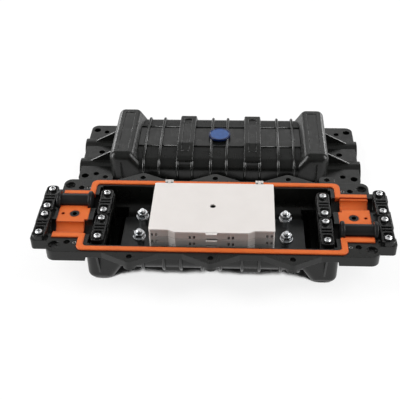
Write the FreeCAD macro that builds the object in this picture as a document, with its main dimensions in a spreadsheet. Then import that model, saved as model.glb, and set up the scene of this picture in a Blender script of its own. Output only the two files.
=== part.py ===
import FreeCAD, Part
import math
import operator
import os
import Sketcher

# Inline splice closure, opened: the base half stands on its feet with the trays in it,
# and the cover half lies face down behind it.
# Each half is drawn with its mating face at z = 0 and its shell hanging below, X along the closure.
# Millimetres and degrees. Every driving dimension is one row here and one cell of the sheet.
SIZES = {
    # Layout: from the middle of the part to the middle of each half, and the cover's shift along the closure
    "half_spacing": 102.0,
    "cover_shift": 2.3,
    # Shell trunk, its section given by depths below the mating face
    "wall": 3.0,
    "trunk_half_length": 161.0,
    "trunk_half_width": 65.0,
    "shoulder_depth": 40.0,
    "shoulder_round": 16.0,
    "crown_depth": 46.0,
    "crown_half_width": 26.0,
    # Feet, the raised blocks at both ends of the trunk
    "foot_depth": 57.0,
    "foot_half_width": 66.5,
    "foot_start": 117.5,
    "foot_flat_start": 129.0,
    "foot_slope_end": 40.0,
    "foot_round": 10.0,
    "foot_panel_margin": 4.5,
    "foot_panel_end": 1.5,
    "foot_fin_at": 144.0,
    "foot_fin_width": 2.4,
    "foot_fin_depth": 49.0,
    "panel_depth": 0.8,
    # Bands and thin ribs around the trunk
    "band_start": 37.5,
    "band_width": 25.0,
    "band_rise": 7.2,
    "band_end_inset": 4.0,
    "band_round": 8.0,
    "band_crown_round": 30.0,
    "band_edge_round": 2.0,
    "band_panel_margin": 6.5,
    "band_panel_half_length": 44.0,
    "rib_width": 3.2,
    "rib_rise": 2.8,
    "rib_middle": 11.6,
    "rib_inner": 88.0,
    "rib_outer": 111.0,
    "crease_width": 1.6,
    "crease_rise": 0.9,
    # Flange and its lugs
    "flange_half_width": 76.0,
    "flange_thick": 9.0,
    "lug_pitch": 101.5,
    "lug_half_base": 36.0,
    "lug_apex": 93.8,
    "lug_round": 10.2,
    "lug_hole_out": 82.4,
    "lug_hole_radius": 4.0,
    "lug_boss_radius": 8.6,
    "lug_boss_depth": 15.0,
    "lug_rib_width": 2.4,
    "lug_rib_spread": 24.0,
    "rear_lug_at": 155.0,
    "rear_lug_half_width": 10.5,
    "rear_lug_tip": 90.0,
    # End blocks with the cable ports
    "end_half_length": 210.0,
    "end_depth": 15.0,
    "end_round": 11.0,
    "port_offset": 27.0,
    "port_radius": 10.0,
    "port_recess_radius": 15.0,
    "barrel_radius": 18.4,
    "barrel_overhang": 3.0,
    "gusset_width": 2.6,
    "gusset_tip_at": 197.0,
    "gusset_rise": 38.5,
    "bolt_at": 184.0,
    "bolt_hole_radius": 4.6,
    "bolt_bore_radius": 3.4,
    "pin_at": 199.5,
    "pin_hole_radius": 2.0,
    "corner_hole_x": 200.4,
    "corner_hole_y": 62.2,
    "corner_hole_radius": 5.5,
    "corner_seat_radius": 7.0,
    "corner_seat_depth": 4.0,
    "small_hole_x": 184.3,
    "small_hole_y": 57.0,
    "small_hole_radius": 4.2,
    "insert_x": 174.6,
    "insert_y": 57.5,
    "insert_radius": 2.6,
    "insert_bore": 1.5,
    "insert_length": 8.0,
    "blind_hole_depth": 13.0,
    "insert_sunk": 0.6,
    # Outer clamp ledges of the base
    "ledge_out": 233.5,
    "ledge_half_width": 54.0,
    "ledge_drop": 1.5,
    "ledge_depth": 14.5,
    "ledge_round": 5.0,
    "saddle_channel_radius": 10.6,
    # Silicone seal
    "seal_middle_y": 69.0,
    "seal_middle_x": 167.0,
    "seal_width": 8.0,
    "seal_depth": 5.0,
    "seal_proud": 2.0,
    "seal_round": 9.0,
    "seal_edge_round": 1.4,
    "seal_fit": 0.1,
    "pad_inner": 169.0,
    "pad_outer": 206.0,
    "pad_half_width": 49.0,
    "pad_tongue_half_width": 12.0,
    "pad_tongue_at": 164.5,
    "pad_bolt_radius": 6.4,
    "cover_groove_depth": 1.5,
    # Blanking plugs
    "plug_fit": 0.15,
    "plug_flange_radius": 13.6,
    "plug_flange_thick": 4.6,
    "plug_end_gap": 0.3,
    "plug_edge": 1.2,
    # Clamp bars and their screws
    "clamp_screw_spacing": 36.6,
    "clamp_half_width": 8.5,
    "clamp_thick": 7.0,
    "clamp_rim": 2.2,
    "clamp_recess": 1.8,
    "clamp_recess_half_length": 9.6,
    "clamp_ridge_width": 2.0,
    "clamp_ridge_pitch": 5.4,
    "clamp_arch_radius": 16.0,
    "clamp_arch_rise": 2.4,
    "clamp_edge": 0.8,
    "outer_clamp_x": 222.0,
    "inner_clamp_x": 146.8,
    "screw_head_radius": 4.4,
    "screw_head_height": 2.5,
    "screw_crown": 0.9,
    "screw_radius": 1.9,
    "screw_length": 16.0,
    "screw_hole_gap": 0.2,
    "screw_slot_width": 1.3,
    "screw_slot_length": 5.2,
    "screw_slot_depth": 1.4,
    # Inner clamp saddles, standing on the floor of the feet
    "saddle_half_length": 9.0,
    "saddle_half_width": 54.0,
    "saddle_top": 6.8,
    "saddle_foot_gap": 0.2,
    "saddle_leg_width": 12.0,
    "saddle_leg_half_length": 6.0,
    # Tray bracket with its posts
    "bracket_top": 33.0,
    "bracket_thick": 2.5,
    "bracket_half_length": 122.0,
    "bracket_half_width": 35.0,
    "bracket_round": 4.0,
    "bracket_rail_x": 62.0,
    "bracket_rail_half_width": 6.0,
    "bracket_boss_radius": 5.0,
    "bracket_boss_x": 26.0,
    "bracket_boss_y": 20.0,
    "bracket_screw_length": 10.0,
    "stud_x": 96.5,
    "stud_y": 21.0,
    "stud_radius": 3.9,
    "stud_top": 8.5,
    "stud_chamfer": 0.8,
    "stud_fit": 0.2,
    "nut_across": 13.0,
    "nut_height": 6.5,
    "nut_bevel": 1.0,
    "nut_bevel_in": 0.25,
    "nut_bottom": 19.0,
    "washer_radius": 8.4,
    "washer_thick": 1.6,
    "collar_radius": 6.0,
    "stud_head_radius": 6.0,
    "stud_head_thick": 2.0,
    # Splice trays, stacked on the bracket and hinged at the rear
    "tray_count": 4,
    "tray_half_length": 80.0,
    "tray_half_width": 49.0,
    "tray_bulge": 4.4,
    "tray_bulge_half": 46.0,
    "tray_bulge_foot": 55.0,
    "tray_corner_round": 2.5,
    "tray_pitch": 11.0,
    "tray_gap": 0.2,
    "tray_floor": 1.6,
    "tray_wall": 1.5,
    "tray_lip": 0.3,
    "tray_bottom": 29.8,
    "tray_hole_radius": 4.0,
    "tray_spool_x": 46.0,
    "tray_spool_radius": 24.0,
    "tray_spool_wall": 1.4,
    "tray_spool_height": 7.0,
    "tray_mouth_y": 36.0,
    "tray_mouth_half_width": 6.0,
    "tray_slot_outer": 73.0,
    "tray_slot_inner": 24.5,
    "tray_slot_width": 2.8,
    "tray_slot_height": 4.4,
    "tray_slot_pitch": 5.4,
    "tray_slot_rise": 2.3,
    "tab_half_width": 7.6,
    "tab_reach": 3.4,
    "tab_taper": 1.2,
    "lid_thick": 2.2,
    "hinge_x": 61.0,
    "hinge_back": 2.7,
    "hinge_rise": 2.6,
    "hinge_radius": 2.4,
    "hinge_flat": 0.12,
    "hinge_knuckle_half_width": 1.7,
    "hinge_ear_width": 3.4,
    "hinge_side_gap": 0.3,
    "hinge_pin_radius": 1.0,
    "hinge_pin_fit": 0.25,
    "hinge_ear_start": 5.6,
    # Splice holders, one comb in each tray
    "holder_half_length": 21.0,
    "holder_y": 25.0,
    "holder_half_width": 13.0,
    "holder_height": 6.4,
    "holder_base": 1.4,
    "holder_slot_width": 2.6,
    "holder_slot_pitch": 4.0,
    "holder_slot_count": 6,
    # Round badge on the cover's crown, bare
    "badge_radius": 16.5,
    "badge_thick": 3.2,
    "badge_sink": 0.7,
    "badge_rim": 1.8,
    "badge_edge": 0.6,
}

DOC = FreeCAD.newDocument("InlineSpliceClosure")
SHEET = DOC.addObject("Spreadsheet::Sheet", "Sizes")
OPERATIONS = {"+": operator.add, "-": operator.sub, "*": operator.mul, "/": operator.truediv}
NODES = []


class Size:
    """A number together with the sheet expression that gives it."""

    def __init__(self, value, text):
        self.value = value
        self.text = text

    def __add__(self, other):
        return combine(self, "+", other)

    def __radd__(self, other):
        return combine(other, "+", self)

    def __sub__(self, other):
        return combine(self, "-", other)

    def __rsub__(self, other):
        return combine(other, "-", self)

    def __mul__(self, other):
        return combine(self, "*", other)

    def __rmul__(self, other):
        return combine(other, "*", self)

    def __truediv__(self, other):
        return combine(self, "/", other)

    def __neg__(self):
        return combine(0.0, "-", self)


def as_size(number):
    """A plain number as a Size; a Size stays itself."""
    if isinstance(number, Size):
        return number
    return Size(float(number), f"{number:.6f}")


def combine(left, sign, right):
    """Two sizes joined by a sign, as a number and as an expression."""
    left = as_size(left)
    right = as_size(right)
    value = OPERATIONS[sign](left.value, right.value)
    return Size(value, f"({left.text} {sign} {right.text})")


def fill_sheet():
    """Write each size to its own aliased cell."""
    for row, (name, value) in enumerate(SIZES.items(), start=1):
        SHEET.set(f"A{row}", str(value))
        SHEET.setAlias(f"A{row}", name)
    DOC.recompute()


class Sheet:
    """The sizes by name."""

    def __getattr__(self, name):
        return Size(SIZES[name], f"Sizes.{name}")


S = Sheet()


class Drawing:
    """A sketch on one of a body's origin planes, with every point and radius tied to the sheet."""

    def __init__(self, body, name, plane="XY_Plane", offset=0.0):
        self.body = body
        self.name = name
        self.sketch = body.newObject("Sketcher::SketchObject", name + "_sketch")
        support = next(item for item in body.Origin.OriginFeatures if item.Role == plane)
        self.sketch.AttachmentSupport = (support, [""])
        self.sketch.MapMode = "FlatFace"
        self.sketch.setExpression("AttachmentOffset.Base.z", as_size(offset).text)
        self.constraints = []
        self.ties = []
        self.count = 0

    def add(self, geometry, construction=False):
        """Add one piece of geometry and give its number."""
        self.sketch.addGeometry(geometry, construction)
        self.count += 1
        return self.count - 1

    def hold(self, *terms):
        """Keep a constraint for later."""
        self.constraints.append(Sketcher.Constraint(*terms))

    def tie(self, size, *terms):
        """Keep a constraint whose value follows the sheet."""
        self.ties.append((len(self.constraints), size.text))
        self.hold(*terms, size.value)

    def pin(self, item, end, x, y):
        """Hold a point at x, y from the origin."""
        for size, kind, axis in ((x, "DistanceX", -2), (y, "DistanceY", -1)):
            size = as_size(size)
            if size.text == "0.000000":
                self.hold("PointOnObject", item, end, axis)
            else:
                self.tie(size, kind, -1, 1, item, end)

    def outline(self, corners):
        """A closed outline of straight sides. A corner is (x, y), or (x, y, radius) if rounded."""
        places = [FreeCAD.Vector(as_size(c[0]).value, as_size(c[1]).value, 0) for c in corners]
        entries, exits, arcs = [], [], []
        for index, corner in enumerate(corners):
            here = places[index]
            to_last = (places[index - 1] - here).normalize()
            to_next = (places[(index + 1) % len(places)] - here).normalize()
            radius = as_size(corner[2]).value if len(corner) > 2 else 0.0
            half_angle = to_last.getAngle(to_next) / 2
            setback = radius / math.tan(half_angle)
            entries.append(here + to_last * setback)
            exits.append(here + to_next * setback)
            middle = here
            if radius:
                middle = here + (to_last + to_next).normalize() * (radius / math.sin(half_angle))
            arcs.append((middle, radius, to_last.cross(to_next).z < 0))
        lines = []
        for index in range(len(corners)):
            following = (index + 1) % len(corners)
            lines.append(self.add(Part.LineSegment(exits[index], entries[following])))
        for index, corner in enumerate(corners):
            before = lines[index - 1]
            after = lines[index]
            if len(corner) == 2:
                self.hold("Coincident", before, 2, after, 1)
                self.pin(after, 1, corner[0], corner[1])
                continue
            self.round_corner(before, after, corner, places[index], entries[index], exits[index], arcs[index])

    def round_corner(self, before, after, corner, place, entry, leave, arc):
        """The arc of a rounded corner, tangent to the sides that would meet at the corner's point."""
        middle, radius, left_turn = arc
        start, end = (entry, leave) if left_turn else (leave, entry)
        angles = [math.atan2(p.y - middle.y, p.x - middle.x) for p in (start, end)]
        circle = Part.Circle(middle, FreeCAD.Vector(0, 0, 1), radius)
        bend = self.add(Part.ArcOfCircle(circle, angles[0], angles[1]))
        point = self.add(Part.Point(place), True)
        entry_end, leave_end = (1, 2) if left_turn else (2, 1)
        self.hold("Tangent", before, 2, bend, entry_end)
        self.hold("Tangent", bend, leave_end, after, 1)
        self.hold("PointOnObject", point, 1, before)
        self.hold("PointOnObject", point, 1, after)
        self.pin(point, 1, corner[0], corner[1])
        self.tie(as_size(corner[2]), "Radius", bend)

    def rectangle(self, x0, y0, x1, y1, radius=None):
        """A rectangle between two corners, with all its corners rounded if a radius is given."""
        corners = [(x0, y0), (x1, y0), (x1, y1), (x0, y1)]
        if radius is not None:
            corners = [corner + (radius,) for corner in corners]
        self.outline(corners)

    def circle(self, x, y, radius):
        """A circle held at its centre."""
        middle = FreeCAD.Vector(as_size(x).value, as_size(y).value, 0)
        ring = self.add(Part.Circle(middle, FreeCAD.Vector(0, 0, 1), as_size(radius).value))
        self.pin(ring, 3, x, y)
        self.tie(as_size(radius), "Radius", ring)

    def half_disc(self, x, radius):
        """The lower half of a disc whose centre is at x on the horizontal axis."""
        middle = FreeCAD.Vector(as_size(x).value, 0, 0)
        reach = FreeCAD.Vector(as_size(radius).value, 0, 0)
        circle = Part.Circle(middle, FreeCAD.Vector(0, 0, 1), as_size(radius).value)
        bend = self.add(Part.ArcOfCircle(circle, math.pi, 2 * math.pi))
        flat = self.add(Part.LineSegment(middle + reach, middle - reach))
        self.hold("Coincident", bend, 2, flat, 1)
        self.hold("Coincident", flat, 2, bend, 1)
        self.hold("PointOnObject", bend, 1, -1)
        self.hold("PointOnObject", bend, 2, -1)
        self.pin(bend, 3, x, 0.0)
        self.tie(as_size(radius), "Radius", bend)

    def slot(self, half_spacing, radius):
        """A slot along the vertical axis: two half circles joined by straight sides."""
        reach = as_size(half_spacing).value
        size = as_size(radius).value
        up = FreeCAD.Vector(0, 0, 1)
        top = self.add(Part.ArcOfCircle(Part.Circle(FreeCAD.Vector(0, reach, 0), up, size), 0, math.pi))
        low_circle = Part.Circle(FreeCAD.Vector(0, -reach, 0), up, size)
        base = self.add(Part.ArcOfCircle(low_circle, math.pi, 2 * math.pi))
        left = self.add(Part.LineSegment(FreeCAD.Vector(-size, reach, 0), FreeCAD.Vector(-size, -reach, 0)))
        right = self.add(Part.LineSegment(FreeCAD.Vector(size, -reach, 0), FreeCAD.Vector(size, reach, 0)))
        self.hold("Tangent", top, 2, left, 1)
        self.hold("Tangent", left, 2, base, 1)
        self.hold("Tangent", base, 2, right, 1)
        self.hold("Tangent", right, 2, top, 1)
        self.pin(top, 3, 0.0, half_spacing)
        self.pin(base, 3, 0.0, -as_size(half_spacing))
        self.tie(as_size(radius), "Radius", top)

    def close(self):
        """Give the sketch its constraints and tie their values to the sheet."""
        self.sketch.addConstraint(self.constraints)
        for index, text in self.ties:
            self.sketch.setExpression(f"Constraints[{index}]", text)
        return self.sketch

    def extrude(self, kind, length, reverse=False, symmetric=False):
        """A pad or pocket of this sketch."""
        sketch = self.close()
        feature = self.body.newObject("PartDesign::" + kind, self.name)
        feature.Profile = sketch
        feature.setExpression("Length", as_size(length).text)
        feature.Reversed = reverse
        feature.Refine = False
        if symmetric:
            feature.SideType = "Symmetric"
        return feature

    def pad(self, length, reverse=False, symmetric=False):
        """Material on the sketch's outlines, along the plane's normal unless reversed."""
        return self.extrude("Pad", length, reverse, symmetric)

    def pocket(self, length, reverse=False, symmetric=False):
        """A cut on the sketch's outlines, against the plane's normal unless reversed."""
        return self.extrude("Pocket", length, reverse, symmetric)

    def spin(self, kind, axis):
        """A revolution or groove of this sketch about its own H_Axis or V_Axis."""
        sketch = self.close()
        feature = self.body.newObject("PartDesign::" + kind, self.name)
        feature.Profile = sketch
        feature.ReferenceAxis = (sketch, [axis])
        feature.Angle = 360.0
        return feature


def new_body(label, keep=True):
    """An empty body, which becomes a node unless it is only a pattern for copies."""
    body = DOC.addObject("PartDesign::Body", label)
    body.Label = label
    if keep:
        NODES.append(body)
    return body


def merge_faces(body):
    """Merge the faces that lie in one surface, once, on the body's last feature."""
    body.Tip.Refine = True


def place(item, x, y, z, turn=0.0):
    """Put an object at x, y, z, turned about X by turn degrees."""
    x, y, z = as_size(x), as_size(y), as_size(z)
    rotation = FreeCAD.Rotation(FreeCAD.Vector(1, 0, 0), turn)
    item.Placement = FreeCAD.Placement(FreeCAD.Vector(x.value, y.value, z.value), rotation)
    for axis, size in (("x", x), ("y", y), ("z", z)):
        item.setExpression(f"Placement.Base.{axis}", size.text)


def place_on_base(item, x=0.0, y=0.0, z=0.0):
    """Put an object at x, y, z from the middle of the base's mating face."""
    place(item, x, as_size(y) - S.half_spacing, as_size(z) + S.foot_depth)


def place_on_cover(item):
    """Turn an object over with the cover, whose mating face lies on the bench."""
    place(item, S.cover_shift, S.half_spacing, 0.0, 180.0)


def mirror_body(body, plane="YZ_Plane"):
    """The body made whole by its mirror image across one of its origin planes."""
    feature = body.newObject("PartDesign::Mirrored", "mirrored")
    feature.TransformMode = "Whole shape"
    support = next(item for item in body.Origin.OriginFeatures if item.Role == plane)
    feature.MirrorPlane = (support, [""])
    feature.Refine = False
    body.Tip = feature
    return feature


def dress(kind, body, base, amount, chosen):
    """A fillet or chamfer on the edges that chosen picks."""
    DOC.recompute()
    names = [f"Edge{number}" for number, edge in enumerate(base.Shape.Edges, start=1) if chosen(edge)]
    feature = body.newObject("PartDesign::" + kind, kind.lower())
    feature.Base = (base, names)
    feature.setExpression("Radius" if kind == "Fillet" else "Size", as_size(amount).text)
    return feature


def group(label, pattern, places):
    """Separate copies of one pattern body, kept as one node."""
    links = []
    for number, spot in enumerate(places, start=1):
        link = DOC.addObject("App::Link", f"{label}_{number}")
        link.LinkedObject = pattern
        place(link, *spot)
        links.append(link)
    node = DOC.addObject("Part::Compound", label)
    node.Label = label
    node.Links = links
    NODES.append(node)
    return node


def both_sides(*positions):
    """Each position with both signs."""
    return [sign * position for position in positions for sign in (-1, 1)]


def trunk_section(drawing, side_out, crown_out, top):
    """The trunk's section, grown outwards by side_out at the walls and crown_out at the crown."""
    half = S.trunk_half_width + side_out
    shoulder = -(S.shoulder_depth + crown_out)
    crown = -(S.crown_depth + crown_out)
    bend = S.shoulder_round + side_out
    drawing.outline([
        (-half, top),
        (-half, shoulder, bend),
        (-S.crown_half_width, crown),
        (S.crown_half_width, crown),
        (half, shoulder, bend),
        (half, top),
    ])


def band_half_span():
    """From the middle to the end of a band across the trunk."""
    return S.trunk_half_width - S.band_end_inset


def band_section(drawing, inset, rise):
    """A band's section, drawn in by inset: a strap over the roof that bends down at both shoulders."""
    half = band_half_span() - inset
    root = S.shoulder_round - S.shoulder_depth
    corner = -(S.shoulder_depth + rise)
    crown = -(S.crown_depth + rise)
    drawing.outline([
        (-half, root),
        (-half, corner, S.band_round - inset),
        (-S.crown_half_width, crown, S.band_crown_round),
        (S.crown_half_width, crown, S.band_crown_round),
        (half, corner, S.band_round - inset),
        (half, root),
    ])


def foot_profile(drawing, inset, top, end_bend=()):
    """A foot seen from the side, drawn in by inset, its end corner rounded if a bend is given."""
    half_end = S.trunk_half_length - inset
    depth = S.foot_depth - inset
    drawing.outline([
        (S.foot_start + inset, top),
        (S.foot_start + inset, -S.foot_slope_end),
        (S.foot_flat_start + inset, -depth),
        (half_end, -depth) + end_bend,
        (half_end, top),
    ])


def seal_outlines(drawing, grow):
    """The seal's plan: an outer and an inner outline, both moved by grow away from the seal."""
    half = S.seal_width / 2 + grow
    out_x, out_y = S.seal_middle_x + half, S.seal_middle_y + half
    in_x, in_y = S.seal_middle_x - half, S.seal_middle_y - half
    pad_y = S.pad_half_width + grow
    pad_x = S.pad_outer + grow
    bend = S.seal_round
    drawing.outline([
        (-out_x, out_y, bend), (-out_x, pad_y), (-pad_x, pad_y), (-pad_x, -pad_y),
        (-out_x, -pad_y), (-out_x, -out_y, bend),
        (out_x, -out_y, bend), (out_x, -pad_y), (pad_x, -pad_y), (pad_x, pad_y),
        (out_x, pad_y), (out_x, out_y, bend),
    ])
    neck = S.pad_half_width - S.seal_width - grow
    inner = S.pad_inner - grow
    tongue_x = S.pad_tongue_at - grow
    tongue_y = S.pad_tongue_half_width + grow
    inner_bend = S.seal_round - S.seal_width / 2
    right = [
        (in_x, -in_y, inner_bend), (in_x, -neck), (inner, -neck), (inner, -tongue_y),
        (tongue_x, -tongue_y), (tongue_x, tongue_y), (inner, tongue_y), (inner, neck),
        (in_x, neck), (in_x, in_y, inner_bend),
    ]
    left = [(-corner[0],) + corner[1:] for corner in reversed(right)]
    drawing.outline(right + left)


def pad_plan(drawing, side, grow):
    """One port pad's plan, moved outwards by grow."""
    inner = S.pad_inner - grow
    outer = S.pad_outer + grow
    half = S.pad_half_width + grow
    tongue_x = S.pad_tongue_at - grow
    tongue_y = S.pad_tongue_half_width + grow
    drawing.outline([
        (side * inner, -half), (side * outer, -half), (side * outer, half), (side * inner, half),
        (side * inner, tongue_y), (side * tongue_x, tongue_y),
        (side * tongue_x, -tongue_y), (side * inner, -tongue_y),
    ])


def shell_flange(body):
    """The flange plate with its bolt lugs, bosses and the ribs under them."""
    plate = Drawing(body, "flange")
    plate.outline([
        (0.0, -S.flange_half_width), (S.end_half_length, -S.flange_half_width, S.end_round),
        (S.end_half_length, S.flange_half_width, S.end_round), (0.0, S.flange_half_width),
    ])
    plate.pad(S.flange_thick, reverse=True)
    lugs = Drawing(body, "lugs")
    bosses = Drawing(body, "lug_bosses")
    webs = Drawing(body, "lug_webs")
    half_web = S.lug_rib_width / 2
    for middle in lug_middles():
        for side in (-1, 1):
            lugs.outline([
                (middle - S.lug_half_base, side * S.trunk_half_width),
                (middle + S.lug_half_base, side * S.trunk_half_width),
                (middle + S.lug_half_base, side * S.flange_half_width),
                (middle, side * S.lug_apex, S.lug_round),
                (middle - S.lug_half_base, side * S.flange_half_width),
            ])
            bosses.circle(middle, side * S.lug_hole_out, S.lug_boss_radius)
            webs.outline([
                (middle - half_web, side * S.lug_hole_out),
                (middle - S.lug_rib_spread - half_web, side * S.trunk_half_width),
                (middle - S.lug_rib_spread + half_web, side * S.trunk_half_width),
                (middle, side * (S.lug_hole_out - S.lug_rib_width)),
                (middle + S.lug_rib_spread - half_web, side * S.trunk_half_width),
                (middle + S.lug_rib_spread + half_web, side * S.trunk_half_width),
                (middle + half_web, side * S.lug_hole_out),
            ])
    lugs.pad(S.flange_thick, reverse=True)
    bosses.pad(S.lug_boss_depth, reverse=True)
    webs.pad(S.lug_boss_depth, reverse=True)


def lug_middles():
    """The lugs along one half of a side, from the middle outwards."""
    return (as_size(0.0), S.lug_pitch)


def shell_foot(body):
    """The foot with its rounded edges, and the fins between its sides and the flange."""
    foot = Drawing(body, "foot", "XZ_Plane")
    foot_profile(foot, as_size(0.0), -S.flange_thick)
    foot_pad = foot.pad(2 * S.foot_half_width, symmetric=True)
    side_y = S.foot_half_width.value
    crown_z = -S.crown_depth.value
    start_x = S.foot_start.value

    def outer_edge(edge):
        """An edge of the block's outline that reaches below the crown, away from the trunk."""
        on_side = all(abs(abs(point.Y) - side_y) < 0.01 for point in edge.Vertexes)
        low = min(point.Z for point in edge.Vertexes) < crown_z + 0.01
        outside = max(point.X for point in edge.Vertexes) > start_x + 0.01
        return on_side and low and outside

    dress("Fillet", body, foot_pad, S.foot_round, outer_edge)
    fins = Drawing(body, "foot_fins", "YZ_Plane", S.foot_fin_at - S.foot_fin_width / 2)
    root = S.foot_half_width - S.wall / 2
    for side in (-1, 1):
        fins.outline([
            (side * root, -S.flange_thick), (side * S.flange_half_width, -S.flange_thick),
            (side * root, -S.foot_fin_depth),
        ])
    fins.pad(S.foot_fin_width)


def shell_band(body):
    """The band with its rounded long edges and its panel, and the ribs that go on down the walls."""
    band = Drawing(body, "band", "YZ_Plane", S.band_start)
    band_section(band, as_size(0.0), S.band_rise)
    band_pad = band.pad(S.band_width)
    side_planes = (S.band_start.value, (S.band_start + S.band_width).value)
    crown_z = -S.crown_depth.value
    end_y = band_half_span().value

    def long_edge(edge):
        """An edge of the band's outer face along one of its two sides."""
        on_side = any(all(abs(point.X - plane) < 0.01 for point in edge.Vertexes) for plane in side_planes)
        outer = all(point.Z < crown_z - 0.01 or abs(point.Y) > end_y - 0.01 for point in edge.Vertexes)
        return on_side and outer

    dress("Fillet", body, band_pad, S.band_edge_round, long_edge)
    for start in (S.band_start, S.band_start + S.band_width - S.rib_width):
        edge_rib = Drawing(body, "band_rib", "YZ_Plane", start)
        trunk_section(edge_rib, S.rib_rise, S.rib_rise, -S.flange_thick)
        edge_rib.pad(S.rib_width)
    reach = S.band_panel_half_length
    across = S.crown_half_width
    floor = S.crown_depth + S.band_rise - S.panel_depth
    drop = (S.crown_depth - S.shoulder_depth) * (reach - across) / (band_half_span() - across)
    outside = S.crown_depth + 2 * S.band_rise
    panel = Drawing(body, "band_panel", "YZ_Plane", S.band_start + S.band_panel_margin)
    panel.outline([
        (-reach, -outside), (-reach, drop - floor), (-across, -floor),
        (across, -floor), (reach, drop - floor), (reach, -outside),
    ])
    panel.pocket(S.band_width - 2 * S.band_panel_margin, reverse=True)


def shell_trunk(body):
    """The trunk with its foot, band, ribs and crease lines."""
    trunk = Drawing(body, "trunk", "YZ_Plane")
    trunk_section(trunk, as_size(0.0), as_size(0.0), 0.0)
    trunk.pad(S.foot_flat_start)
    shell_foot(body)
    shell_band(body)
    for middle in (S.rib_middle, S.rib_inner, S.rib_outer):
        rib = Drawing(body, "rib", "YZ_Plane", middle - S.rib_width / 2)
        trunk_section(rib, S.rib_rise, S.rib_rise, -S.flange_thick)
        rib.pad(S.rib_width)
    creases = Drawing(body, "creases", "YZ_Plane")
    for side in (-1, 1):
        creases.rectangle(
            side * (S.crown_half_width - S.crease_width / 2), -(S.crown_depth + S.crease_rise),
            side * (S.crown_half_width + S.crease_width / 2), -(S.crown_depth - S.wall / 2))
    creases.pad(S.foot_start)


def shell_end(body):
    """The end block with its port barrels and gussets."""
    root = S.trunk_half_length - S.wall / 2
    block = Drawing(body, "end_block")
    block.outline([
        (root, -S.flange_half_width), (S.end_half_length, -S.flange_half_width, S.end_round),
        (S.end_half_length, S.flange_half_width, S.end_round), (root, S.flange_half_width),
    ])
    block.pad(S.end_depth, reverse=True)
    barrels = Drawing(body, "barrels", "YZ_Plane", root)
    for side in (-1, 1):
        barrels.half_disc(side * S.port_offset, S.barrel_radius)
    barrels.pad(S.end_half_length + S.barrel_overhang - root)
    for side in (-1, 1):
        gusset = Drawing(body, "gusset", "XZ_Plane", side * S.port_offset)
        gusset.outline([
            (S.gusset_tip_at, -S.end_depth), (root, -S.end_depth),
            (root, -S.gusset_rise), (S.gusset_tip_at, -S.barrel_radius),
        ])
        gusset.pad(S.gusset_width, symmetric=True)


def shell_hollows(body):
    """The trough, the hollow foot and band, and the round channels of the ports."""
    trough = Drawing(body, "trough", "YZ_Plane")
    trunk_section(trough, -S.wall, -S.wall, S.wall)
    trough.pocket(S.trunk_half_length - 2 * S.wall, reverse=True)
    foot = Drawing(body, "foot_hollow", "XZ_Plane")
    foot_profile(foot, S.wall, S.wall, (S.foot_round / 2,))
    foot.pocket(2 * (S.foot_half_width - S.wall - S.foot_round / 2), symmetric=True)
    band = Drawing(body, "band_hollow", "YZ_Plane", S.band_start + S.wall)
    band_section(band, S.wall, S.band_rise - S.wall)
    band.pocket(S.band_width - 2 * S.wall, reverse=True)
    channels = Drawing(body, "port_channels", "YZ_Plane")
    for side in (-1, 1):
        channels.half_disc(side * S.port_offset, S.port_recess_radius)
    channels.pocket(S.end_half_length + S.barrel_overhang, reverse=True)
    panel = Drawing(body, "foot_panel", offset=-S.foot_depth)
    panel_half = S.foot_half_width - S.foot_round - S.foot_panel_margin
    panel.rectangle(
        S.foot_flat_start + S.foot_round / 2, -panel_half,
        S.trunk_half_length - S.foot_round - S.foot_panel_end, panel_half)
    panel.pocket(S.panel_depth, reverse=True)


def shell_holes(body):
    """The holes through the flange and the end block."""
    through = Drawing(body, "through_holes", offset=S.wall)
    seats = Drawing(body, "corner_seats")
    for side in (-1, 1):
        for middle in lug_middles():
            through.circle(middle, side * S.lug_hole_out, S.lug_hole_radius)
        through.circle(S.corner_hole_x, side * S.corner_hole_y, S.corner_hole_radius)
        through.circle(S.small_hole_x, side * S.small_hole_y, S.small_hole_radius)
        seats.circle(S.corner_hole_x, side * S.corner_hole_y, S.corner_seat_radius)
    through.pocket(S.end_depth + S.barrel_radius)
    seats.pocket(S.corner_seat_depth)


def make_shell_pattern():
    """What the mouldings of both halves have in common: one end, mirrored."""
    body = new_body("shell_pattern", keep=False)
    shell_flange(body)
    shell_trunk(body)
    shell_end(body)
    shell_hollows(body)
    shell_holes(body)
    mirror_body(body)
    merge_faces(body)
    return body


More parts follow.
